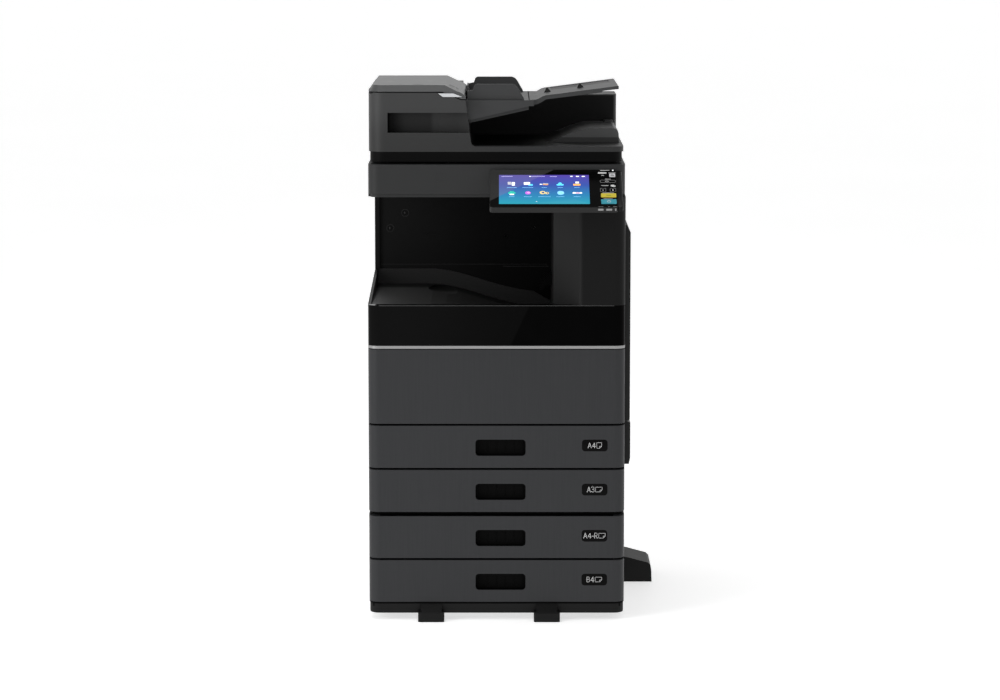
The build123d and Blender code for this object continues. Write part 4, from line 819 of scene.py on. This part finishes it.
def dot(x, s, r, lift=0.30):
    """A round mark on the screen."""
    return turned([(r, MARK_BASE), (r, lift - 0.04), (r * 0.9, lift)], x, -s, 20)


def touch_screen_picture():
    """The lit picture, its status line and two rows of five symbols with caption bars."""
    x0, x1, s0, s1 = SCREEN
    build("screen_display", [plate(x0, x1, -s1, -s0, 0.02, 0.15, 1.0, 0.05)], SCREEN_PICTURE,
          "control_panel", PANEL)
    screen_text(x0)
    screen_upper_row()
    screen_lower_row()


def screen_text(x0):
    """White marks, the status line and a caption bar under each symbol."""
    a, b, c, _, e = SYMBOL_X
    whites = [flat(165, 171, 27.5, 30.5), flat(178, 185, 27.2, 31), flat(191, 198, 27.2, 31),
              flat(x0 + 68, x0 + 71, 27.6, 30.8), flat(a, a + 7, 53, 67), flat(b - 9, b + 5, 53, 64),
              flat(e - 3, e + 5, 51, 58), flat(a - 5, a + 5, 101, 105.5), flat(c - 10, c - 4, 60, 63.5)]
    status = [flat(x0 + 5, x0 + 31, 28.0, 30.0, 0.24), flat(x0 + 71, x0 + 103, 28.5, 30.2, 0.24),
              flat(x0 + 114, x0 + 130, 28.5, 30.5, 0.24)]
    captions = []
    for x, upper, lower in zip(SYMBOL_X, (11, 12, 6, 6, 6), (6, 9, 14, 9, 8)):
        captions.append(flat(x - upper, x + upper, 74.6, 75.6, 0.24, 0.4))
        captions.append(flat(x - lower, x + lower, 112.0, 113.0, 0.24, 0.4))
    screen_mark("screen_whites", whites + [dot(89, 132, 1.1)], "white")
    screen_mark("screen_status", status, "silver")
    screen_mark("screen_captions", captions, "sky")


def screen_upper_row():
    """Papers, clouds and boxes of the upper row of symbols, and the green sheets below them."""
    a, b, c, d, e = SYMBOL_X
    screen_mark("screen_papers", [flat(a - 9, a - 1, 52, 63), flat(c - 3, c + 9, 57.5, 60.0)], "grey")
    clouds = [flat(b + 1, b + 11, 61, 67.5), flat(d - 8, d + 8, 60.5, 67, 0.3, 2.6), dot(d, 58.5, 4.2)]
    screen_mark("screen_clouds", clouds, "cyan")
    screen_mark("screen_boxes", [flat(e - 8, e + 8, 60.0, 67), flat(c - 3, c + 9, 61.5, 64.5)], "orange")
    screen_mark("screen_greens", [flat(a - 8, a + 8, 95, 100), flat(a - 5, a + 5, 90, 92.5)], "green")


def screen_lower_row():
    """Wheel, cogs, globe and banner of the lower row of symbols."""
    _, b, c, d, e = SYMBOL_X
    row = LOWER_ROW
    screen_mark("screen_wheel", [dot(b, row + 2.0, 6.4)], "violet")
    screen_mark("screen_wheel_middle", [dot(b + 1.5, row + 1.0, 3.2, 0.38)], "pink")
    screen_mark("screen_cogs", [dot(c - 4, row + 1, 6.6), dot(c + 6, row + 3, 4.4)], "gold")
    screen_mark("screen_cog_holes", [dot(c - 3, row + 1, 3.0, 0.38), dot(c + 7, row + 3, 2.0, 0.38)], "navy")
    screen_mark("screen_globe", [dot(d + 1, row + 2.0, 7.8)], "sky")
    banner = [flat(e - 10, e - 3, 94.5, 100), flat(e + 6, e + 11, 94.5, 100)]
    screen_mark("screen_banner", banner, "white")
    screen_mark("screen_banner_marks", [flat(e - 3, e + 6, 94.5, 100)], "rose")


def on_panel(name, faces, finish, place=PANEL):
    """A printed or raised detail of the panel."""
    build(name, faces, finish, "control_panel", place)


def printed(x0, x1, s0, s1, top=0.12, r=0.6, edge=0.04):
    """A printed bar, from its X limits and its distances down the panel."""
    return plate(x0, x1, -s1, -s0, -0.1, top, r, edge)


def panel_surround():
    """Outlines of the keys, small print bars, the lamp and the marks along the lower lip."""
    rings = [frame_ring(231.7, 266.4, -54.5, -44.0, -0.1, 0.18, 2.5, 0.7)]
    for x0, x1 in ((231.0, 244.0), (253.0, 266.3)):
        rings.append(frame_ring(x0, x1, -92.5, -78.0, -0.1, 0.18, 2.5, 0.6))
    on_panel("key_outlines", rings, PRINT_GREY)
    bars = [printed(233, 254, 2.8, 4.6), printed(228, 247, 11.6, 17.2, 0.16, 1.0, 0.05),
            printed(251, 267, 13.4, 15.4), printed(243, 256, 39.4, 41.2), printed(234, 250, 66.0, 67.8),
            printed(236, 262, 96.2, 97.6, 0.12, 0.5), printed(238, 258, 120.2, 121.6, 0.12, 0.5),
            printed(237.1, 238.1, 83.5, 88.5, 0.14, 0.4), printed(235, 241, 23.6, 25.4),
            printed(258.3, 261.0, 83.0, 87.6, 0.14, 0.5)]
    bars.append(stroke([(243, -49.2), (247, -46.5), (251, -49.2), (247, -52.0)], 0.8, -0.1, 0.14))
    on_panel("panel_print", bars, PRINT_WHITE)
    icon = [printed(255, 263, 63.8, 70.2, 0.18, 1.2, 0.05), printed(258, 266, 66.0, 71.8, 0.14, 1.2, 0.05)]
    on_panel("panel_icon", icon, PRINT_WHITE)
    lamp = coloured("lamp_white", (0.75, 0.78, 0.8, 1), (0.9, 0.92, 0.95, 1), 0.3, 0.6)
    on_panel("panel_lamp", [turned([(2.0, -0.1), (2.0, 0.2), (1.5, 0.5), (0.6, 0.62)], 261.5, -3.6)], lamp)
    panel_lip()


def panel_lip():
    """Labels on the lip under the keys, and the marks above it."""
    turn = Matrix.Rotation(math.radians(PANEL_TILT + 90), 4, "X")
    lip = Matrix.Translation(PANEL_HINGE + PANEL_DEPTH * DOWN_PANEL) @ turn
    labels = [printed(225, 237, 3.4, 8.4, 0.3, 1.0, 0.12), printed(243, 256, 3.4, 8.4, 0.3, 1.0, 0.12),
              printed(262.5, 265.5, 2.8, 9.0, 0.3, 0.8, 0.12)]
    on_panel("lip_labels", labels, PRINT_GREY, lip)
    marks = []
    for x0, x1 in ((226, 236), (247, 250), (258, 267)):
        marks.append(plate(x0, x1, -153.4, -152.4, 0.0, 0.10, 0.3, 0.03))
    on_panel("lip_marks", marks, PRINT_GREY)


def panel_cheek():
    """Black end cheek closing the housing beside the keys, with a satin edge line."""
    build("panel_cheek", [plate(268.6, 281.0, -154.0, -3.0, -12.5, -0.4, 5.0, 1.6)], CHEEK_BLACK,
          "control_panel", PANEL)
    on_panel("panel_cheek_line", [plate(277.6, 278.6, -149.0, -8.0, -0.6, -0.15, 0.4, 0.1)], BODY_PLASTIC)


def key_symbols():
    """Symbols on the three keys, each riding on its own key."""
    low, top = KEY_PRINT
    house = [plate(255.6, 263.8, -29.4, -22.6, low, top, 1.4, 0.05),
             plate(257.2, 262.2, -21.6, -20.2, low, top, 0.5, 0.04)]
    build("home_symbol", house, PRINT_GREY, "key_home", PANEL)
    green = coloured("green_print", (0.16, 0.20, 0.02, 1), (0.2, 0.25, 0.03, 1))
    letter = plate(244, 254.5, -109.2, -106.4, low, top, 1.0, 0.04)
    build("clear_symbol", [letter], green, "key_clear", PANEL)
    ring = frame_ring(245.4, 253.8, -137.2, -128.8, low, top, 4.1, 1.0)
    bar = plate(249.1, 250.1, -133.6, -127.6, low, 1.0, 0.4, 0.04)
    build("start_symbol", [ring, bar], PRINT_WHITE, "key_start", PANEL)


# ---------------------------------------------------------------- document feeder


FEED_TRAY_TOP = ((112, 1199.8), (275, 1220.9))  # X and Z at the low and high end of its upper face
FEED_TRAY_FRONT = -232.5
SLOPE_START, SLOPE_DROP, SLOPE_MARGIN = -117.0, 21.6, 3.0  # of the cover's slope, down to its right end
FEED_ROLLERS = ((-98.0, 1186.0, 8.0), (-128.0, 1172.0, 9.0), (-160.0, 1186.0, 7.0))  # X, Z and radius


def feeder_marks():
    """Lamp, window and paper lip of the top cover, and the printed guide on its slope."""
    low, high = box("adf_top_cover")
    cover = "adf_top_cover"
    top = facing("top", 0, 0, high[2])
    build("cover_lamp", [turned([(1.7, -0.3), (1.7, 0.12), (1.2, 0.3)], -217, low[1] + 38)], PRINT_DARK,
          cover, top)
    build("cover_window", [plate(-189, -167, low[1] + 36.4, low[1] + 39.8, -0.3, 0.22, 1.6, 0.1)], PRINT_DARK,
          cover, top)
    lip = facing("front", high[0], low[1] + 56, 0)
    build("cover_paper_lip", [plate(-0.2, 3.0, 1191.0, 1209.0, -354.0, 0.0, 1.2, 0.6)], RECESS_BLACK,
          cover, lip)
    slope = slope_frame()
    bars = [plate(8, 34, 40 + 9 * k, 43 + 9 * k, -0.1, 0.14, 0.8, 0.05) for k in range(5)]
    build("slope_print", bars, PRINT_GREY, cover, slope)
    pages = [frame_ring(x0, x1, 90, 106, -0.1, 0.16, 1.2, 0.7) for x0, x1 in ((10, 22), (26, 36))]
    pages.append(stroke([(12, 118), (30, 118), (26, 122)], 1.0, -0.1, 0.16, closed=False))
    build("slope_pages", pages, PRINT_DARK, cover, slope)


def slope_frame():
    """Flat drawing plane on the cover's right-hand slope: X down the slope, Y to the back."""
    low, high = box("adf_top_cover")
    start = Vector((SLOPE_START, low[1], high[2])) * MM
    end = Vector((high[0] - SLOPE_MARGIN, low[1], high[2] - SLOPE_DROP)) * MM
    down = (end - start).normalized()
    back = Vector((0, 1, 0))
    out = down.cross(back)
    turn = Matrix((down, back, out)).transposed().to_4x4()
    return Matrix.Translation(start) @ turn


def tray_marks():
    """Dark inlay strip and two small arrow-shaped sheet rests on the feed tray."""
    (low_x, low_z), (high_x, high_z) = FEED_TRAY_TOP
    slope = math.atan2(high_z - low_z, high_x - low_x)
    start = Matrix.Translation((low_x * MM, FEED_TRAY_FRONT * MM, low_z * MM))
    place = start @ Matrix.Rotation(-slope, 4, "Y")
    build("tray_inlay", [plate(15.5, 150, 191.5, 288.5, -1.75, -1.0, 1.0, 0.3)], BLACK_PLASTIC, "feed_tray",
          place)
    rests = []
    for x in (5.0, 81.0):
        outer = [(x - 8, -0.3), (x + 8, -0.3), (x + 2.2, 9.4), (x, 10.6), (x - 2.2, 9.4)]
        rests.append(skin([[(px, y, pz) for px, pz in outer] for y in (121.0, 118.0)]))
    rests += [plate(x - 3.4, x + 3.4, 114.6, 117.9, -0.2, 2.8, 1.2, 0.5) for x in (5.0, 81.0)]
    build("tray_rests", rests, PRINT_DARK, "feed_tray", place)


def ramp_stop():
    """Small sheet stop at the high end of the exit ramp."""
    top = facing("top", 0, 0, 1119.0)
    stop = [plate(252, 274, 74, 98, -0.4, 5.0, 4.0, 2.0), frame_ring(256, 270, 78, 94, 4.6, 5.3, 3.0, 1.2)]
    build("ramp_stop", stop, FEEDER_PLASTIC, "document_feeder", top)


def feeder_rollers():
    """Feed rollers in pairs, each pair on its shaft, inside the feeder's mouth."""
    axis = facing("front", 0, 0, 0)
    rollers, shafts = [], []
    for x, z, r in FEED_ROLLERS:
        for y in (110.0, 40.0):
            profile = [(r - 1.0, y - 26), (r, y - 25), (r, y + 25), (r - 1.0, y + 26)]
            rollers.append(turned(profile, x, z, 28))
        shafts.append(turned([(2.4, -140), (3.0, -139.4), (3.0, 273), (2.4, 273.6)], x, z, 16))
    build("feed_rollers", rollers, RUBBER, "document_feeder", axis)
    build("feed_shafts", shafts, STEEL, "document_feeder", axis)


def backing_pad():
    """Wipe-clean foam pad: soft edges, slightly crowned face, in the place of its plain block."""
    low, high = box("backing_pad")
    x0, y0, z0 = low
    x1, y1, z1 = high
    cols, rows = 24, 18
    soft_edge = 0.14  # share of the half width that is rounded off
    ripple = inset = 0.12
    verts, faces = [], []

    def point(i, j, side):
        u, v = i / cols * 2 - 1, j / rows * 2 - 1
        edge = max(abs(u), abs(v))
        soft = 1 - max(0.0, edge - 1 + soft_edge) / soft_edge
        crown = math.sqrt(max(0.0, 1 - (1 - soft) ** 2))
        half = (z1 - z0) / 2
        wave = ripple * math.sin(3.1 * u + 0.6) * math.sin(2.7 * v)
        z = (z0 + z1) / 2 + side * (half * (0.35 + 0.62 * crown) + (wave if side < 0 else 0) - inset)
        return (x0 + (u + 1) / 2 * (x1 - x0), y0 + (v + 1) / 2 * (y1 - y0), min(max(z, z0), z1))

    for side in (-1, 1):
        for j in range(rows + 1):
            for i in range(cols + 1):
                verts.append(point(i, j, side))
    n = (cols + 1) * (rows + 1)
    for j in range(rows):
        for i in range(cols):
            a = j * (cols + 1) + i
            b, c, d = a + 1, a + cols + 2, a + cols + 1
            faces.append([a, d, c, b])
            faces.append([n + a, n + b, n + c, n + d])
    left = [j * (cols + 1) for j in range(rows + 1)]
    right = [k + cols for k in left]
    front = list(range(cols + 1))
    back = [rows * (cols + 1) + i for i in range(cols + 1)]
    for line, flip in ((left, False), (right, True), (front, True), (back, False)):
        for p, q in zip(line, line[1:]):
            quad = [p, q, n + q, n + p]
            faces.append(quad if flip else quad[::-1])
    pad = build("backing_pad_foam", [(verts, faces)], FOAM, "document_feeder", None, 50)
    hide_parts("backing_pad")


# ---------------------------------------------------------------- output cavity


def cavity_fittings():
    """Screw heads, plugs and seam lines on the cavity's back wall, and the exit guide ribs."""
    place = facing("front", 0, CAVITY_WALL_Y, 0)
    head = [(3.4, -0.5), (3.4, 0.6), (2.6, 1.2), (0.8, 1.4)]
    heads = [turned(head, x, z, 20) for x, z in CAVITY_SCREWS]
    build("cavity_screws", heads, BLACK_PLASTIC, "main_unit", place)
    plug = [(3.8, -2.6), (3.8, -1.2), (3.0, -1.0)]
    plugs = [turned(plug, x, z, 20) for x, z in ((21.0, 838.0), (88.0, 859.0))]
    build("cavity_plugs", plugs, RECESS_BLACK, "main_unit", place)
    rings = [frame_ring(x - 9, x + 9, z - 9, z + 9, -0.4, 0.35, 8.9, 0.8) for x, z in CAVITY_SCREWS]
    seams = [stroke([(-283, 968), (-283, 762)], 0.8, -0.3, 0.3, False),
             stroke([(15, 765), (124, 765)], 1.0, -0.3, 0.8, False),
             stroke([(-278, 770), (120, 770)], 0.7, -0.3, 0.3, False)]
    build("cavity_seams", rings + seams, BODY_PLASTIC, "main_unit", place)
    exit_ribs()


def exit_ribs():
    """Five thin guide ribs that carry a sheet out over the tray's low end."""
    shape = [(130.4, 765), (124, 763), (112, 752), (104, 738), (101, 727), (104, 727), (116, 740),
             (130.4, 745)]
    ribs = []
    for k in range(5):
        y = -8.0 + 36.0 * k
        ribs.append(skin([[(x, side, z) for x, z in shape] for side in (y, y + 3)]))
    build("exit_ribs", ribs, WALL_BLACK, "main_unit")


def tray_baffle():
    """Black baffle closing the space behind the low end of the output tray."""
    place = facing("front", 0, CAVITY_WALL_Y + 0.6, 0)
    build("tray_baffle", [plate(-12, 128.5, 664, 766, -0.9, 0.0, 2.0, 0.3)], WALL_BLACK, "main_unit",
          place)


def fascia_edge_highlight():
    """Pale satin strip along the top front edge of the gloss fascia: a painted highlight of that edge."""
    place = facing("front", 0, FASCIA_LOW[1] + 0.5, FASCIA_HIGH[2])
    build("fascia_edge_highlight", [plate(-267, 267, -1.3, -0.1, -0.3, 0.45, 0.6, 0.3)], EDGE_HIGHLIGHT, "main_unit",
          place)


def body_screws():
    """Cross-head screws on the back, round the rear covers."""
    back = facing("back", 0, box("rear_covers")[1][1], 0)
    spots = [(x, z) for x in (-270, 0, 270) for z in (262, 620, 780, 955)]
    spots += [(x, z) for x in (-270, 270) for z in (48, 232)]
    heads = [turned([(4.2, -0.6), (4.2, 0.5), (3.4, 1.1), (1.0, 1.3)], -x, z, 20) for x, z in spots]
    build("rear_screws", heads, STEEL, "main_unit", back)
    slots = []
    for x, z in spots:
        slots.append(plate(-x - 2.4, -x + 2.4, z - 0.45, z + 0.45, 1.0, 1.36, 0.2, 0.05))
        slots.append(plate(-x - 0.45, -x + 0.45, z - 2.4, z + 2.4, 1.0, 1.36, 0.2, 0.05))
    build("rear_screw_slots", slots, PRINT_DARK, "main_unit", back)


# X limits, Z limits, corner, the wall at the sides, above and below, and the opening's corner
CONNECTORS = (
    (72, 88, 716, 730, 1.0, 2, 2, 0.6), (98, 114, 716, 730, 1.0, 2, 2, 0.6),
    (126, 139, 718, 724, 0.6, 1.5, 1.2, 0.3), (126, 139, 728, 734, 0.6, 1.5, 1.2, 0.3),
    (150, 176, 714, 732, 1.2, 3, 3, 0.8),
)


def rear_fittings():
    """Connector bay, blank rating plate and the moulded borders of the rear cover."""
    back = facing("back", 0, box("rear_covers")[1][1], 0)
    border = [frame_ring(-262, 262, z0, z1, -0.4, 0.7, 10, 2.2) for z0, z1 in ((300, 590), (650, 780))]
    build("rear_borders", border, BODY_PLASTIC, "main_unit", back)
    bay = [plate(60, 190, 690, 760, -0.4, 0.8, 6, 0.5)]
    build("connector_bay", bay, BLACK_PLASTIC, "main_unit", back)
    sockets, holes = [], []
    for x0, x1, z0, z1, corner, side_wall, wall, hole_corner in CONNECTORS:
        sockets.append(plate(x0, x1, z0, z1, 0.6, 2.0, corner, 0.3))
        holes.append(plate(x0 + side_wall, x1 - side_wall, z0 + wall, z1 - wall, 1.9, 2.1, hole_corner, 0.1))
    build("connectors", sockets, STEEL, "main_unit", back)
    build("connector_holes", holes, PRINT_DARK, "main_unit", back)
    build("blank_plate", [plate(-200, -110, 330, 380, -0.3, 0.5, 3, 0.2)], GREY_PLASTIC, "main_unit",
          back)


# ---------------------------------------------------------------- engine behind the front door


TONER_COLOURS = {
    "yellow": ((0.62, 0.48, 0.03, 1), (0.70, 0.56, 0.05, 1)),
    "magenta": ((0.42, 0.02, 0.16, 1), (0.52, 0.03, 0.22, 1)),
    "cyan": ((0.01, 0.22, 0.42, 1), (0.02, 0.30, 0.52, 1)),
    "black": ((0.006, 0.006, 0.006, 1), (0.012, 0.012, 0.012, 1)),
}


def cartridge_caps():
    """Coloured caps and grips on the fronts of the four toner cartridges."""
    low = box("toner_cartridges")[0]
    for i, (name, (dark, light)) in enumerate(TONER_COLOURS.items()):
        place = facing("front", low[0] + 30 + UNIT_STEP * i, low[1] + 10, low[2])
        cap = [plate(-25, 25, z, z + 6, -0.2, 2.4, 2.0, 0.6) for z in (6, 44)]
        cap += [plate(x, x + 9, 12.5, 43.5, -0.2, 2.0, 2.0, 0.6) for x in (-25, 16)]
        build("cap_" + name, cap, coloured("cap_" + name, dark, light), "main_unit", place)


def drum_gear():
    """A toothed gear with a turned hub."""
    teeth = 28
    outer = []
    for k in range(2 * teeth):
        r, a = (9.6 if k % 2 else 8.6), math.pi * k / teeth
        outer.append((r * math.cos(a), r * math.sin(a)))
    gear = skin([[(x, y, z) for x, y in outer] for z in (-3.4, -0.4)])
    return [gear, turned([(4.0, -0.6), (4.0, 2.2), (3.2, 3.0)], 0, 0, 20)]


def engine_fittings():
    """Drum end gears and the green locking lever in the bay behind the front door."""
    low = box("drum_units")[0]
    for i in range(4):
        place = facing("front", low[0] + 24 + UNIT_STEP * i, low[1] + 0.2, low[2] + 32)
        build(f"drum_gear_{i + 1}", drum_gear(), GREY_PLASTIC, "main_unit", place)
    green = coloured("green_lever", (0.02, 0.22, 0.10, 1), (0.03, 0.30, 0.14, 1))
    laser = box("laser_unit")[0]
    place = facing("front", laser[0] + 60, laser[1], laser[2] + 16)
    lever = [plate(-30, 30, -5, 5, -0.3, 5.0, 4.5, 1.5), plate(20, 44, -9, 9, -0.3, 8.0, 8.5, 2.0)]
    build("lock_lever", lever, green, "main_unit", place)


# ---------------------------------------------------------------- scanner


RULER_CORNER = (-213.5, 236.0, -168.0, 136.0)  # X and Y limits of the glass beside the rulers


def platen_rulers():
    """Pale size rulers along the left and back of the glass, with tick marks."""
    top = facing("top", 0, 0, box("scanner_glasses")[1][2])
    x0, x1, y0, y1 = RULER_CORNER
    strips = [plate(x0 + 0.5, x0 + 12.5, y0, y1, -0.1, 0.22, 0.8, 0.1),
              plate(-200, x1, y1, y1 + 13, -0.1, 0.22, 0.8, 0.1)]
    build("size_rulers", strips, GREY_PLASTIC, "main_unit", top)
    ticks = []
    for k in range(25):
        start, y = x0 + (7 if k % 5 else 4), y0 + 8 + 12 * k
        ticks.append(plate(start, x0 + 12, y, y + 0.6, 0.18, 0.26, 0.1, 0.02))
    for k in range(35):
        x, end = -190 + 12 * k, y1 + (6 if k % 5 else 9)
        ticks.append(plate(x, x + 0.6, y1 + 1, end, 0.18, 0.26, 0.1, 0.02))
    build("ruler_ticks", ticks, PRINT_DARK, "main_unit", top)


def carriage_lamp():
    """The two lit tubes of the scanning carriage."""
    low, high = box("scan_carriage")
    lamp = coloured("scan_lamp", (0.7, 0.75, 0.78, 1), (0.85, 0.9, 0.92, 1), 0.3, 0.3)
    tubes = [plate(low[0] + x, low[0] + x + 5, -160, 125, -22.0, -17.5, 2, 1.0) for x in (8, 27)]
    build("carriage_lamp", tubes, lamp, "scan_carriage", facing("top", 0, 0, high[2]))


# ---------------------------------------------------------------- right and left sides


def side_fittings():
    """Ribs of the bypass tray and of the right-hand door, and the grip on the left side."""
    low, high = box("bypass_tray")
    right = facing("right", high[0], 0, 0)
    ribs = [frame_ring(-186, 186, low[2] + 12, high[2] - 22, -0.3, 0.5, 8, 1.6)]
    for y in range(-150, 151, 50):
        ribs.append(stroke([(y, low[2] + 24), (y, high[2] - 34)], 1.4, -0.3, 0.4, False))
    build("bypass_ribs", ribs, BODY_PLASTIC, "bypass_tray", right)
    place = facing("right", 305.0, 0, 0)
    lines = [stroke([(-235, z), (215, z)], 1.6, -0.3, 0.5, False) for z in range(735, 848, 14)]
    build("door_ribs", lines, BLACK_PLASTIC, "right_door", place)
    left = facing("left", -292.5, 0, 0)
    grip = [frame_ring(-60, 60, 560, 600, -0.3, 0.9, 10, 2.0), plate(-57, 57, 563, 597, -0.3, 0.25, 8, 0.2)]
    grip += [stroke([(y, 640), (y, 690)], 3.0, -0.3, 0.5, False) for y in range(-150, 151, 10)]
    build("left_grip", grip, BLACK_PLASTIC, "main_unit", left)


def castor_details():
    """Hub caps on both sides of the castor wheels."""
    for number in range(1, 5):
        low, high = box(f"castor_{number}_wheel")
        y, z = (low[1] + high[1]) / 2, (low[2] + high[2]) / 2
        for side, x in (("left", low[0]), ("right", high[0])):
            place = facing(side, x, y, z)
            cap = [turned([(12.5, -0.3), (12.5, 0.4), (11.6, 0.8), (8.0, 0.85), (4.0, 0.5)], 0, 0, 28)]
            build(f"wheel_{number}_cap_{side}", cap, GREY_PLASTIC, f"wheel_{number}", place)


def skirt_fittings():
    """Black seal across the joint between the skirt and the lowest drawer; it also stands in for the shade in
    that gap.
    """
    low, high = box("base_skirt")
    place = facing("front", 0, low[1], 0)
    # seal strip that doubles as painted shade behind the joint
    seal = [plate(-284, 284, high[2] - 6, high[2] + 3.4, -5.6, -3.4, 1.0, 0.4)]
    build("skirt_seal_and_shade", seal, RECESS_BLACK, "main_unit", place)


# ---------------------------------------------------------------- studio


CAMERA_PLACE = (0.0077, -7.6925, 1.6336)
CAMERA_TILT = 7.757
CAMERA_LENS = 118.4


def area_light(name, location, target, size, power, spin=0.0):
    light = bpy.data.lights.new(name, "AREA")
    light.shape = "RECTANGLE"
    light.size, light.size_y = size
    light.energy = power
    lamp = bpy.data.objects.new(name, light)
    lamp.location = location
    aim = (Vector(target) - Vector(location)).to_track_quat("-Z", "Y")
    lamp.rotation_mode = "QUATERNION"
    lamp.rotation_quaternion = aim @ Matrix.Rotation(math.radians(spin), 4, "Z").to_quaternion()
    lamp.visible_camera = False
    bpy.context.scene.collection.objects.link(lamp)


def sky(world):
    """White all round the horizon and a dimmer dome overhead."""
    nodes = NodeTree(world.node_tree)
    height = nodes.parts(nodes.node("ShaderNodeTexCoord")["Generated"])[2]
    dome = nodes.ramp(height, [(0.0, grey(1.0)), (0.36, grey(1.0)), (0.60, grey(0.30)), (1.0, grey(0.30))])
    light = nodes.node("ShaderNodeBackground", None, {"Color": dome, "Strength": 1.0})["Background"]
    nodes.node("ShaderNodeOutputWorld", None, {"Surface": light})


def floor_sheet():
    """A wide level grid under everything, reaching far behind the object."""
    steps = 24
    row = steps + 1
    left, near, wide, deep = -30, -30, 60, 90
    verts = [(left + wide * i / steps, near + deep * j / steps, 0) for j in range(row) for i in range(row)]
    faces = []
    for j in range(steps):
        for i in range(steps):
            a = j * row + i
            faces.append([a, a + 1, a + row + 1, a + row])
    mesh = bpy.data.meshes.new("floor")
    mesh.from_pydata(verts, [], faces)
    mesh.materials.append(floor_finish())
    floor = bpy.data.objects.new("floor", mesh)
    bpy.context.scene.collection.objects.link(floor)


def studio():
    """Light dome, two softboxes and the floor."""
    world = bpy.data.worlds.new("studio")
    bpy.context.scene.world = world
    world.use_nodes = True
    sky(world)
    area_light("top_softbox", (-0.5, -0.45, 3.6), (-0.2, 0.0, 0.6), (2.4, 1.5), 36, 20)
    area_light("left_softbox", (-3.6, -3.0, 2.2), (0, 0, 0.8), (1.6, 2.6), 75)
    floor_sheet()


def camera():
    """Camera standing well back on the middle line, looking slightly down."""
    data = bpy.data.cameras.new("camera")
    data.lens = CAMERA_LENS
    data.sensor_width = 36.0
    data.clip_end = 200.0
    cam = bpy.data.objects.new("camera", data)
    cam.location = CAMERA_PLACE
    cam.rotation_euler = (math.radians(90 - CAMERA_TILT), 0, 0)
    bpy.context.scene.collection.objects.link(cam)
    bpy.context.scene.camera = cam
    bpy.context.scene.view_settings.view_transform = "Standard"


paint_nodes()
for drawer in range(1, 5):
    drawer_label(drawer)
    drawer_fittings(drawer)
touch_screen_picture()
panel_surround()
panel_cheek()
key_symbols()
feeder_marks()
tray_marks()
ramp_stop()
feeder_rollers()
backing_pad()
cavity_fittings()
tray_baffle()
fascia_edge_highlight()
body_screws()
rear_fittings()
cartridge_caps()
engine_fittings()
platen_rulers()
carriage_lamp()
side_fittings()
castor_details()
skirt_fittings()
studio()
camera()
